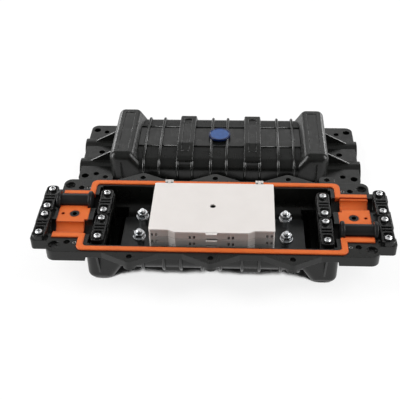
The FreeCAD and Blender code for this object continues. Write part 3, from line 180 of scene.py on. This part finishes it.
class Shader:
    """A material whose nodes are added one after another."""

    def __init__(self, name):
        self.material = bpy.data.materials.new(name)
        self.material.use_nodes = True
        self.tree = self.material.node_tree
        self.tree.nodes.clear()
        self.surface = self.tree.nodes.new("ShaderNodeBsdfPrincipled")
        output = self.tree.nodes.new("ShaderNodeOutputMaterial")
        self.join(self.surface.outputs["BSDF"], output.inputs["Surface"])
        self.place = self.tree.nodes.new("ShaderNodeTexCoord").outputs["Object"]

    def join(self, start, end):
        """Link an output to an input."""
        self.tree.links.new(start, end)

    def noise(self, scale, detail=3.0, stretch=None):
        """A noise in object space, stretched along the axes if asked."""
        node = self.tree.nodes.new("ShaderNodeTexNoise")
        node.inputs["Scale"].default_value = scale
        node.inputs["Detail"].default_value = detail
        node.inputs["Roughness"].default_value = NOISE_ROUGHNESS
        place = self.place
        if stretch is not None:
            mapping = self.tree.nodes.new("ShaderNodeMapping")
            mapping.inputs["Scale"].default_value = stretch
            self.join(place, mapping.inputs["Vector"])
            place = mapping.outputs["Vector"]
        self.join(place, node.inputs["Vector"])
        return node.outputs["Fac"]

    def spread(self, value, low, high, start=0.3, end=0.7):
        """A value between start and end spread over low to high."""
        node = self.tree.nodes.new("ShaderNodeMapRange")
        node.inputs["From Min"].default_value = start
        node.inputs["From Max"].default_value = end
        node.inputs["To Min"].default_value = low
        node.inputs["To Max"].default_value = high
        self.join(value, node.inputs["Value"])
        return node.outputs["Result"]

    def clouds(self, scale, detail):
        """Soft patches between zero and one."""
        return self.spread(self.noise(scale, detail), 0.0, 1.0)

    def blend(self, factor, first, second):
        """One colour turning into another. A colour is three numbers or an output."""
        node = self.tree.nodes.new("ShaderNodeMix")
        node.data_type = "RGBA"
        self.join(factor, node.inputs["Factor"])
        for colour, socket in ((first, node.inputs["A"]), (second, node.inputs["B"])):
            if isinstance(colour, tuple):
                socket.default_value = (*colour, 1.0)
            else:
                self.join(colour, socket)
        return node.outputs["Result"]

    def math(self, operation, first, second):
        """Arithmetic on two outputs."""
        node = self.tree.nodes.new("ShaderNodeMath")
        node.operation = operation
        self.join(first, node.inputs[0])
        self.join(second, node.inputs[1])
        return node.outputs["Value"]

    def rounded_normal(self, radius):
        """The normal of edges softened by radius."""
        node = self.tree.nodes.new("ShaderNodeBevel")
        node.samples = BEVEL_SAMPLES
        node.inputs["Radius"].default_value = radius
        return node.outputs["Normal"]

    def openness(self, reach, samples=SHADE_SAMPLES):
        """One on open faces, lower where other faces within reach close a place in."""
        node = self.tree.nodes.new("ShaderNodeAmbientOcclusion")
        node.samples = samples
        node.inputs["Distance"].default_value = reach
        return node.outputs["AO"]

    def hollow_mask(self, reach, span):
        """One in hollows, zero on open faces."""
        return self.spread(self.openness(reach), 1.0, 0.0, *span)

    def ring_mask(self, centre, inner, outer):
        """Zero up to inner metres from an upright axis through a point, one from outer on."""
        node = self.tree.nodes.new("ShaderNodeVectorMath")
        node.operation = "DISTANCE"
        flat = self.tree.nodes.new("ShaderNodeMapping")
        flat.inputs["Scale"].default_value = (1.0, 1.0, 0.0)
        self.join(self.place, flat.inputs["Vector"])
        self.join(flat.outputs["Vector"], node.inputs[0])
        node.inputs[1].default_value = (centre[0], centre[1], 0.0)
        return self.spread(node.outputs["Value"], 0.0, 1.0, start=inner, end=outer)

    def edge_mask(self, normal):
        """High where the softened normal leaves the true one, at edges."""
        geometry = self.tree.nodes.new("ShaderNodeNewGeometry")
        dot = self.tree.nodes.new("ShaderNodeVectorMath")
        dot.operation = "DOT_PRODUCT"
        self.join(normal, dot.inputs[0])
        self.join(geometry.outputs["Normal"], dot.inputs[1])
        return self.spread(dot.outputs["Value"], 1.0, 0.0, start=0.75, end=1.0)

    def bump(self, height, distance, normal):
        """A height turned into a normal, over another normal."""
        node = self.tree.nodes.new("ShaderNodeBump")
        node.inputs["Strength"].default_value = 1.0
        node.inputs["Distance"].default_value = distance
        self.join(height, node.inputs["Height"])
        self.join(normal, node.inputs["Normal"])
        return node.outputs["Normal"]

    def set_constants(self, **settings):
        """Set numbers and colours on the surface's own sockets, named with _ for a space."""
        for name, value in settings.items():
            self.surface.inputs[name.replace("_", " ")].default_value = value

    def finish(self, colour, roughness, normal, **settings):
        """Join the last nodes to the surface, set its constants and give the material."""
        self.join(colour, self.surface.inputs["Base Color"])
        self.join(roughness, self.surface.inputs["Roughness"])
        self.join(normal, self.surface.inputs["Normal"])
        self.set_constants(**settings)
        return self.material


def moulded_plastic(name, dark, light, edge_wear_and_highlight, rough, edge_radius, grain=1400.0, depth=0.00006,
                    painted_shade=None, **settings):
    """Moulded plastic: cloudy colour, fine grain, flow streaks, lighter edges (partly wear, partly painted
    highlight) and, if asked, painted shade in hollows.
    """
    shader = Shader(name)
    soft = shader.rounded_normal(edge_radius)
    colour = shader.blend(shader.clouds(scale=38.0, detail=5.0), dark, light)
    # Lighter edges in patches: partly wear, partly painted highlight
    edge_patches = shader.spread(shader.noise(scale=160.0), low=0.15, high=0.9)
    wear_and_highlight = shader.math("MULTIPLY", shader.edge_mask(soft), edge_patches)
    colour = shader.blend(wear_and_highlight, colour, edge_wear_and_highlight)
    # Painted shade: hollows such as the tray's slots are darkened
    if painted_shade is not None:
        colour = shader.blend(shader.hollow_mask(SLOT_REACH, SLOT_SPAN), colour, painted_shade)
    patches = shader.spread(shader.noise(scale=90.0, detail=6.0), *rough)
    streaks = shader.spread(shader.noise(scale=700.0, stretch=FLOW_STREAK), low=-0.04, high=0.04)
    gloss = shader.math("ADD", patches, streaks)
    normal = shader.bump(shader.noise(scale=grain, detail=2.0), depth, soft)
    return shader.finish(colour, gloss, normal, **settings)


def silicone(name, base, deep, painted_shade):
    """Moulded silicone: saturated, a little see-through, satin, with painted shade: redder and darker along
    its edges and in its hollows.
    """
    shader = Shader(name)
    colour = shader.blend(shader.clouds(scale=55.0, detail=4.0), base, deep)
    # Painted shade: redder and darker along the seal's edges and in its hollows
    colour = shader.blend(shader.edge_mask(shader.rounded_normal(SEAL_EDGE_SHADE)), colour, painted_shade)
    colour = shader.blend(shader.hollow_mask(SEAL_REACH, SEAL_SPAN), colour, painted_shade)
    gloss = shader.spread(shader.noise(scale=120.0, detail=5.0), low=0.36, high=0.52)
    soft = shader.rounded_normal(SEAL_EDGE)
    normal = shader.bump(shader.noise(scale=700.0), distance=0.00006, normal=soft)
    return shader.finish(colour, gloss, normal, Subsurface_Weight=0.08, Subsurface_Scale=0.002,
                         Specular_IOR_Level=0.3)


def badge_plastic(name, dark, light, rim, edge_wear_and_highlight):
    """A plain round badge with a dark rim and a painted highlight along its edges, glossy and a little
    scratched.
    """
    low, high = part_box("cover_badge")
    middle = ((low[0] + high[0]) / 2, (low[1] + high[1]) / 2)
    radius = (high[0] - low[0]) / 2
    shader = Shader(name)
    soft = shader.rounded_normal(BADGE_EDGE)
    colour = shader.blend(shader.clouds(scale=260.0, detail=5.0), dark, light)
    rim_mask = shader.ring_mask(middle, BADGE_RIM[0] * radius, BADGE_RIM[1] * radius)
    colour = shader.blend(rim_mask, colour, rim)
    # Painted highlight: lighter colour along the badge's edges
    colour = shader.blend(shader.edge_mask(soft), colour, edge_wear_and_highlight)
    gloss = shader.spread(shader.noise(scale=400.0, detail=4.0), low=0.14, high=0.24)
    normal = shader.bump(shader.noise(scale=1200.0, detail=2.0), distance=0.00002, normal=soft)
    return shader.finish(colour, gloss, normal, Specular_IOR_Level=0.35)


def plated_metal(name, base, dull, recess_shade, rough):
    """Plated metal with slight patches and scratches, and painted shade in its recesses."""
    shader = Shader(name)
    colour = shader.blend(shader.clouds(scale=240.0, detail=5.0), base, dull)
    # Painted shade: darker in recesses such as the screws' cross slots
    colour = shader.blend(shader.hollow_mask(RECESS_REACH, RECESS_SPAN), colour, recess_shade)
    gloss = shader.spread(shader.noise(scale=500.0, detail=4.0), *rough)
    soft = shader.rounded_normal(METAL_EDGE)
    normal = shader.bump(shader.noise(scale=1500.0), distance=0.00002, normal=soft)
    return shader.finish(colour, gloss, normal, Metallic=1.0)


class Moulding:
    """A closed mesh put together from rings of points."""

    def __init__(self):
        self.mesh = bmesh.new()

    def ring(self, outline, heights):
        """The points of an outline, at one height or at a height each."""
        if isinstance(heights, float):
            heights = [heights] * len(outline)
        return [self.mesh.verts.new((x, y, z)) for (x, y), z in zip(outline, heights)]

    def wall(self, lower, upper):
        """Faces between two rings of as many points."""
        for index, start in enumerate(lower):
            follower = (index + 1) % len(lower)
            self.mesh.faces.new((start, lower[follower], upper[follower], upper[index]))

    def cap(self, *rings):
        """A flat face inside the first ring and outside the others."""
        edges = []
        for ring in rings:
            for index, start in enumerate(ring):
                end = ring[(index + 1) % len(ring)]
                edges.append(self.mesh.edges.get((start, end)) or self.mesh.edges.new((start, end)))
        bmesh.ops.triangle_fill(self.mesh, use_beauty=True, edges=edges)

    def tube(self, rings):
        """Walls from ring to ring, and a cap on each end."""
        for lower, upper in zip(rings, rings[1:]):
            self.wall(lower, upper)
        self.cap(rings[0])
        self.cap(rings[-1])

    def piece(self, name, place, material, body):
        """The finished object, riding on a body."""
        bmesh.ops.recalc_face_normals(self.mesh, faces=self.mesh.faces)
        data = bpy.data.meshes.new(name)
        self.mesh.to_mesh(data)
        self.mesh.free()
        data.materials.append(material)
        item = bpy.data.objects.new(name, data)
        item.location = place
        bpy.context.scene.collection.objects.link(item)
        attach(item, body)
        return item


def rounded_outline(low, high, bend, side_steps=1):
    """A rounded rectangle: its right side from front to rear, then its left side back again."""
    middle = (low[0] + high[0]) / 2
    half = (high[0] - low[0]) / 2 - bend
    right = []
    for step in range(CORNER_STEPS + 1):
        angle = math.pi / 2 * step / CORNER_STEPS
        right.append((half + bend * math.sin(angle), low[1] + bend * (1 - math.cos(angle))))
    for step in range(1, side_steps):
        right.append((half + bend, low[1] + bend + (high[1] - low[1] - 2 * bend) * step / side_steps))
    for step in range(CORNER_STEPS + 1):
        angle = math.pi / 2 * step / CORNER_STEPS
        right.append((half + bend * math.cos(angle), high[1] - bend * (1 - math.sin(angle))))
    return [(middle + x, y) for x, y in right] + [(middle - x, y) for x, y in reversed(right)]


def round_outline(middle_y, radius):
    """A circle about a point on a clamp bar's long axis."""
    turns = [2 * math.pi * step / CIRCLE_STEPS for step in range(CIRCLE_STEPS)]
    return [(radius * math.cos(turn), middle_y + radius * math.sin(turn)) for turn in turns]


def arch_height(y):
    """How far a clamp bar's underside stands over its seat at y."""
    if abs(y) >= BAR_ARCH_RADIUS:
        return 0.0
    return max(0.0, BAR_ARCH_RISE - BAR_ARCH_RADIUS + math.sqrt(BAR_ARCH_RADIUS ** 2 - y ** 2))


def bar_pocket(bar, low, high, bend, top, boss_y=None):
    """A pocket in a bar's top, with a boss for a screw head if asked. Gives the ring of its mouth."""
    draft = BAR_WELL_DRAFT
    mouth = bar.ring(rounded_outline(low, high, bend), top)
    inner_low = (low[0] + draft, low[1] + draft)
    inner_high = (high[0] - draft, high[1] - draft)
    floor = bar.ring(rounded_outline(inner_low, inner_high, bend - draft / 2), top - BAR_WELL_DEPTH)
    bar.wall(floor, mouth)
    if boss_y is None:
        bar.cap(floor)
        return mouth
    root = bar.ring(round_outline(boss_y, BAR_BOSS_RADIUS + draft), top - BAR_WELL_DEPTH)
    seat = bar.ring(round_outline(boss_y, BAR_BOSS_RADIUS), top)
    bar.cap(floor, root)
    bar.wall(root, seat)
    bar.cap(seat)
    return mouth


def make_clamp_bar(node, material):
    """A clamp bar in the place of its node: a rim, two screw wells, three ridges and an arched underside."""
    low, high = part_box(node)
    half_x = (high[0] - low[0]) / 2
    half_y = (high[1] - low[1]) / 2
    top = high[2] - low[2]
    bar = Moulding()
    rings = []
    levels = [(0.0, None), (0.0, top - BAR_EDGE), (BAR_EDGE_MIDDLE, top - BAR_EDGE_MIDDLE), (BAR_EDGE, top)]
    for inset, height in levels:
        front_left = (inset - half_x, inset - half_y)
        rear_right = (half_x - inset, half_y - inset)
        outline = rounded_outline(front_left, rear_right, BAR_CORNER - inset, BAR_SIDE_STEPS)
        heights = [arch_height(y) for x, y in outline] if height is None else height
        rings.append(bar.ring(outline, heights))
    for lower, upper in zip(rings, rings[1:]):
        bar.wall(lower, upper)
    underside = rings[0]
    for index in range(len(underside) // 2 - 1):
        right_pair = (underside[index], underside[index + 1])
        left_pair = (underside[-index - 2], underside[-index - 1])
        bar.mesh.faces.new(right_pair + left_pair)
    reach = half_x - BAR_RIM
    ridge = BAR_RIDGE_WIDTH / 2
    well_start = BAR_RIDGE_PITCH + ridge
    well_end = half_y - BAR_RIM
    mouths = [
        bar_pocket(bar, (-reach, well_start), (reach, well_end), BAR_WELL_BEND, top, BAR_SCREW_OUT),
        bar_pocket(bar, (-reach, -well_end), (reach, -well_start), BAR_WELL_BEND, top, -BAR_SCREW_OUT),
        bar_pocket(bar, (-reach, ridge), (reach, BAR_RIDGE_PITCH - ridge), BAR_GROOVE_BEND, top),
        bar_pocket(bar, (-reach, ridge - BAR_RIDGE_PITCH), (reach, -ridge), BAR_GROOVE_BEND, top),
    ]
    bar.cap(rings[-1], *mouths)
    place = ((low[0] + high[0]) / 2, (low[1] + high[1]) / 2, low[2])
    piece = bar.piece(f"bar_{node}", place, material, "closure")
    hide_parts(node)


def trunk_path(lift):
    """One side of the trunk's section, lifted off it, as steps outwards and depths, flange to crown."""
    half = TRUNK_HALF + lift
    shoulder = SHOULDER_DEPTH + lift
    crown = CROWN_DEPTH + lift
    bend = SHOULDER_BEND + lift
    turn = math.pi / 2 - math.atan2(crown - shoulder, half - CROWN_HALF)
    start = shoulder - bend * math.tan(turn / 2)
    path = [(half, RIB_ROOT)]
    for step in range(SHOULDER_STEPS + 1):
        angle = turn * step / SHOULDER_STEPS
        path.append((half - bend + bend * math.cos(angle), start + bend * math.sin(angle)))
    path.append((CROWN_HALF, crown))
    return path


def add_bead(form, path, radius, place, way):
    """A round bar along a path over one half shell. A point is steps right, steps back and a depth."""
    rings = []
    for index, point in enumerate(path):
        before = Vector(path[max(index - 1, 0)])
        after = Vector(path[min(index + 1, len(path) - 1)])
        along = (after - before).normalized()
        side = Vector((0.0, 1.0, 0.0)) if abs(along.x) > 0.5 else Vector((1.0, 0.0, 0.0))
        out = along.cross(side)
        ring = []
        for step in range(BEAD_STEPS):
            angle = 2 * math.pi * step / BEAD_STEPS
            spot = Vector(point) + radius * (math.cos(angle) * side + math.sin(angle) * out)
            ring.append(form.mesh.verts.new((place[0] + spot.x, place[1] + spot.y, place[2] + way * spot.z)))
        rings.append(ring)
    form.tube(rings)


def across_at(x, section):
    """A section of the trunk as a path at x."""
    return [(x, across, depth) for across, depth in section]


def panel_lines(span, section):
    """The four lines round a panel that goes from one x to another along a section."""
    lines = [across_at(x, section) for x in span]
    for across, depth in (section[0], section[-1]):
        lines.append([(x, across, depth) for x in span])
    return lines


def make_ribs(rib_material, line_material):
    """Rounded ribs over the roof, short ones below the bands, crease lines and lines round the panels."""
    band_end = BAND_PANEL_DEPTH - BAND_PANEL_DROP
    band_section = [(-BAND_PANEL_HALF, band_end), (-CROWN_HALF, BAND_PANEL_DEPTH),
                    (CROWN_HALF, BAND_PANEL_DEPTH), (BAND_PANEL_HALF, band_end)]
    foot_section = [(-FOOT_PANEL_HALF, FOOT_PANEL_DEPTH), (FOOT_PANEL_HALF, FOOT_PANEL_DEPTH)]
    rear_side = trunk_path(RIB_LIFT)
    front_side = [(-across, depth) for across, depth in rear_side]
    over = rear_side + front_side[::-1]
    for name, place, way in HALVES:
        ribs = Moulding()
        lines = Moulding()
        for sign in (-1, 1):
            for x in RIB_X:
                add_bead(ribs, across_at(sign * x, over), RIB_RADIUS, place, way)
            for x in BAND_RIB_X:
                add_bead(ribs, across_at(sign * x, rear_side[:-1]), RIB_RADIUS, place, way)
                add_bead(ribs, across_at(sign * x, front_side[:-1]), RIB_RADIUS, place, way)
            for span, section in ((BAND_PANEL_X, band_section), (FOOT_PANEL_X, foot_section)):
                for line in panel_lines([sign * x for x in span], section):
                    add_bead(lines, line, LINE_RADIUS, place, way)
            crease_depth = CROWN_DEPTH + CREASE_LIFT
            crease = [(x, sign * CROWN_HALF, crease_depth) for x in (-CREASE_HALF, CREASE_HALF)]
            add_bead(ribs, crease, CREASE_RADIUS, place, way)
        for kind, form, material in (("ribs", ribs, rib_material), ("lines", lines, line_material)):
            piece = form.piece(f"{name}_{kind}", (0.0, 0.0, 0.0), material, "closure")
            for face in piece.data.polygons:
                face.use_smooth = True


def stud_radius(height, turn, length):
    """A stud's radius at a height over its head's underside, at a share of a turn round it."""
    if height <= STUD_HEAD_THICK:
        return STUD_HEAD_RADIUS
    if height < STUD_NECK[0]:
        phase = (height / THREAD_PITCH - turn) % 1.0
        return STUD_RADIUS - THREAD_DEPTH * abs(2 * phase - 1)
    if height <= STUD_NECK[1]:
        return STUD_NECK_RADIUS
    return min(STUD_RADIUS, STUD_RADIUS - STUD_CHAMFER + (length - height))


def make_studs(material):
    """The four threaded studs with their flat heads, and a neck below their plain ends."""
    low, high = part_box("post_studs")
    length = high[2] - low[2]
    steps = round((length - STUD_HEAD_THICK) / THREAD_PITCH * THREAD_STEPS)
    rise = (length - STUD_HEAD_THICK) / steps
    heights = [0.0, STUD_HEAD_THICK]
    heights += [STUD_HEAD_THICK + rise * (step + THREAD_START) for step in range(steps)]
    heights.append(length)
    studs = Moulding()
    for x in (-STUD_X, STUD_X):
        for y in STUD_Y:
            rings = []
            for height in heights:
                outline = []
                for step in range(STUD_STEPS):
                    turn = step / STUD_STEPS
                    angle = 2 * math.pi * turn
                    radius = stud_radius(height, turn, length)
                    outline.append((x + radius * math.cos(angle), y + radius * math.sin(angle)))
                rings.append(studs.ring(outline, height))
            studs.tube(rings)
    piece = studs.piece("threaded_studs", (0.0, 0.0, low[2]), material, "closure")
    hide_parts("post_studs")


def set_material(material, *names):
    """Give nodes, named by the start of their names, one material."""
    for node_name, item in NODES.items():
        if node_name.startswith(names):
            item.data.materials.clear()
            item.data.materials.append(material)


def dress_shells():
    """The black shells and saddles, and the ribs and lines on the shells."""
    black = moulded_plastic(
        "black_shell", SHELL_DARK, SHELL_LIGHT, SHELL_EDGE_WEAR_AND_HIGHLIGHT,
        rough=(0.26, 0.36), edge_radius=0.0007, depth=0.00003, Specular_IOR_Level=0.4)
    set_material(black, "base_shell", "cover_shell", "inner_saddle")
    ribs = moulded_plastic(
        "black_ribs", SHELL_DARK, SHELL_LIGHT, SHELL_EDGE_WEAR_AND_HIGHLIGHT,
        rough=(0.18, 0.26), edge_radius=0.0003, depth=0.00002, Specular_IOR_Level=0.65)
    make_ribs(ribs, black)


def dress_clamps():
    """The clamp bars, each replaced by a finer one. Their screws get a metal later."""
    bars = moulded_plastic(
        "black_bars", dark=(0.0045, 0.0045, 0.0045), light=(0.0075, 0.0075, 0.0072),
        edge_wear_and_highlight=(0.045, 0.045, 0.045), rough=(0.20, 0.30), edge_radius=0.0006, grain=1800.0, depth=0.00003,
        Specular_IOR_Level=0.36)
    set_material(bars, "outer_clamp", "inner_clamp")
    for node in [name for name in NODES if name.startswith(("outer_clamp_", "inner_clamp_"))]:
        if not node.endswith("screws"):
            make_clamp_bar(node, bars)


def dress_ports():
    """The blanking plugs and the silicone."""
    plug = moulded_plastic(
        "plug_plastic", dark=(0.0065, 0.0068, 0.0070), light=(0.0090, 0.0094, 0.0098),
        edge_wear_and_highlight=(0.03, 0.03, 0.03), rough=(0.30, 0.40), edge_radius=0.0006, grain=2400.0, depth=0.00001,
        Specular_IOR_Level=0.32)
    set_material(plug, "port_plug")
    # The silicone's hollow colour is painted shade along its edges and in its hollows
    rubber = silicone(
        "orange_silicone", base=(0.72, 0.156, 0.031), deep=(0.66, 0.134, 0.026), painted_shade=(0.30, 0.026, 0.005))
    set_material(rubber, "base_seal", "cover_port_seal")


def dress_metal():
    """The posts, screws and inserts, with the threaded studs of the posts."""
    zinc = plated_metal(
        "bright_zinc", base=(0.88, 0.90, 0.92), dull=(0.72, 0.74, 0.76), recess_shade=(0.10, 0.10, 0.10),
        rough=(0.14, 0.26))
    set_material(zinc, "bracket_screws", "post_nuts", "post_washers", "post_collars")
    heads = plated_metal(
        "screw_zinc", base=(0.92, 0.93, 0.94), dull=(0.80, 0.81, 0.82), recess_shade=(0.02, 0.02, 0.02),
        rough=(0.28, 0.40))
    set_material(heads, "outer_clamp_screws", "inner_clamp_screws")
    make_studs(zinc)
    inserts = plated_metal(
        "insert_metal", base=(0.66, 0.66, 0.64), dull=(0.50, 0.50, 0.48), recess_shade=(0.05, 0.05, 0.05),
        rough=(0.3, 0.45))
    set_material(inserts, "corner_inserts")


def dress_trays():
    """The bracket, trays, lid and splice holders."""
    bracket = moulded_plastic(
        "bracket_paint", dark=(0.016, 0.018, 0.018), light=(0.024, 0.026, 0.026), edge_wear_and_highlight=(0.08, 0.08, 0.08),
        rough=(0.28, 0.40), edge_radius=0.0004, grain=2600.0, Specular_IOR_Level=0.4)
    set_material(bracket, "tray_bracket")
    # Tray and lid edges are lighter, partly wear and partly painted highlight; the tray's slots get painted
    # shade
    tray = moulded_plastic(
        "tray_plastic", dark=(0.58, 0.55, 0.525), light=(0.64, 0.61, 0.585), edge_wear_and_highlight=(0.86, 0.85, 0.84),
        rough=(0.34, 0.48), edge_radius=0.0005, grain=1500.0, depth=0.00003, painted_shade=(0.03, 0.028, 0.026),
        Specular_IOR_Level=0.4)
    set_material(tray, "splice_tray")
    lid = moulded_plastic(
        "lid_plastic", dark=(0.750, 0.712, 0.686), light=(0.775, 0.738, 0.712), edge_wear_and_highlight=(0.90, 0.885, 0.87),
        rough=(0.40, 0.55), edge_radius=0.0006, grain=1500.0, depth=0.00003, Specular_IOR_Level=0.3)
    set_material(lid, "tray_lid")
    holder = moulded_plastic(
        "holder_rubber", dark=(0.05, 0.05, 0.052), light=(0.07, 0.07, 0.073), edge_wear_and_highlight=(0.12, 0.12, 0.12),
        rough=(0.55, 0.7), edge_radius=0.0003)
    set_material(holder, "splice_holder")


def dress_badge():
    """The bare badge on the cover."""
    badge = badge_plastic(
        "badge_blue", dark=(0.008, 0.052, 0.20), light=(0.014, 0.078, 0.28),
        rim=(0.004, 0.012, 0.06), edge_wear_and_highlight=(0.03, 0.08, 0.22))
    set_material(badge, "cover_badge")


def shown_rays(shader):
    """One for the rays that show the floor to the camera, directly or in metal and glass, otherwise zero."""
    path = shader.tree.nodes.new("ShaderNodeLightPath")
    reflected = shader.math("MAXIMUM", path.outputs["Is Glossy Ray"], path.outputs["Is Transmission Ray"])
    return shader.math("MAXIMUM", path.outputs["Is Camera Ray"], reflected)


def make_floor():
    """A wide white floor that keeps the object's shadow, with a painted contact shadow: its lift fades out
    close under the object.
    """
    bpy.ops.mesh.primitive_plane_add(size=FLOOR_SIZE, location=(0.0, 0.0, FLOOR_HEIGHT))
    floor = bpy.context.object
    floor.name = "floor"
    shader = Shader("floor_white")
    shader.set_constants(Base_Color=(FLOOR_COLOUR, FLOOR_COLOUR, FLOOR_COLOUR, 1.0), Roughness=0.9,
                         Specular_IOR_Level=0.1, Emission_Color=WHITE)
    # Painted contact shadow: the lift fades where the object closes the floor in
    open_share = shader.openness(FLOOR_SHADE_REACH, FLOOR_SHADE_SAMPLES)
    lift = shader.spread(open_share, 0.0, FLOOR_LIFT, *FLOOR_SHADE_SPAN)
    strength = shader.math("MULTIPLY", shown_rays(shader), lift)
    shader.join(strength, shader.surface.inputs["Emission Strength"])
    floor.data.materials.append(shader.material)


def make_world():
    """A studio surround: pale at the horizon, dimmer overhead."""
    world = bpy.data.worlds.new("studio")
    world.use_nodes = True
    tree = world.node_tree
    place = tree.nodes.new("ShaderNodeTexCoord")
    parts = tree.nodes.new("ShaderNodeSeparateXYZ")
    tree.links.new(place.outputs["Generated"], parts.inputs["Vector"])
    strength = tree.nodes.new("ShaderNodeMapRange")
    strength.inputs["From Min"].default_value = SKY_CHANGE[0]
    strength.inputs["From Max"].default_value = SKY_CHANGE[1]
    strength.inputs["To Min"].default_value = SKY_AT_HORIZON
    strength.inputs["To Max"].default_value = SKY_OVERHEAD
    tree.links.new(parts.outputs["Z"], strength.inputs["Value"])
    background = tree.nodes["Background"]
    background.inputs["Color"].default_value = WHITE
    tree.links.new(strength.outputs["Result"], background.inputs["Strength"])
    bpy.context.scene.world = world


def make_lamp(name, place, aim, width, height, watts):
    """A soft box aimed at a point."""
    data = bpy.data.lights.new(name, "AREA")
    data.shape = "RECTANGLE"
    data.size = width
    data.size_y = height
    data.energy = watts
    lamp = bpy.data.objects.new(name, data)
    lamp.location = place
    lamp.rotation_euler = (Vector(aim) - Vector(place)).to_track_quat("-Z", "Y").to_euler()
    bpy.context.scene.collection.objects.link(lamp)


def make_camera():
    """The photograph's camera."""
    data = bpy.data.cameras.new("camera")
    data.lens = CAMERA_LENS_MM
    data.sensor_width = SENSOR_MM
    data.sensor_fit = "HORIZONTAL"
    camera = bpy.data.objects.new("camera", data)
    turn = Matrix((CAMERA_RIGHT, CAMERA_UP, CAMERA_BACK)).transposed().to_4x4()
    camera.matrix_world = Matrix.Translation(CAMERA_PLACE) @ turn
    bpy.context.scene.collection.objects.link(camera)
    bpy.context.scene.camera = camera


dress_shells()
dress_clamps()
dress_ports()
dress_metal()
dress_trays()
dress_badge()
make_floor()
make_world()
for lamp_settings in LAMPS:
    make_lamp(*lamp_settings)
make_camera()
bpy.context.scene.view_settings.view_transform = "Standard"
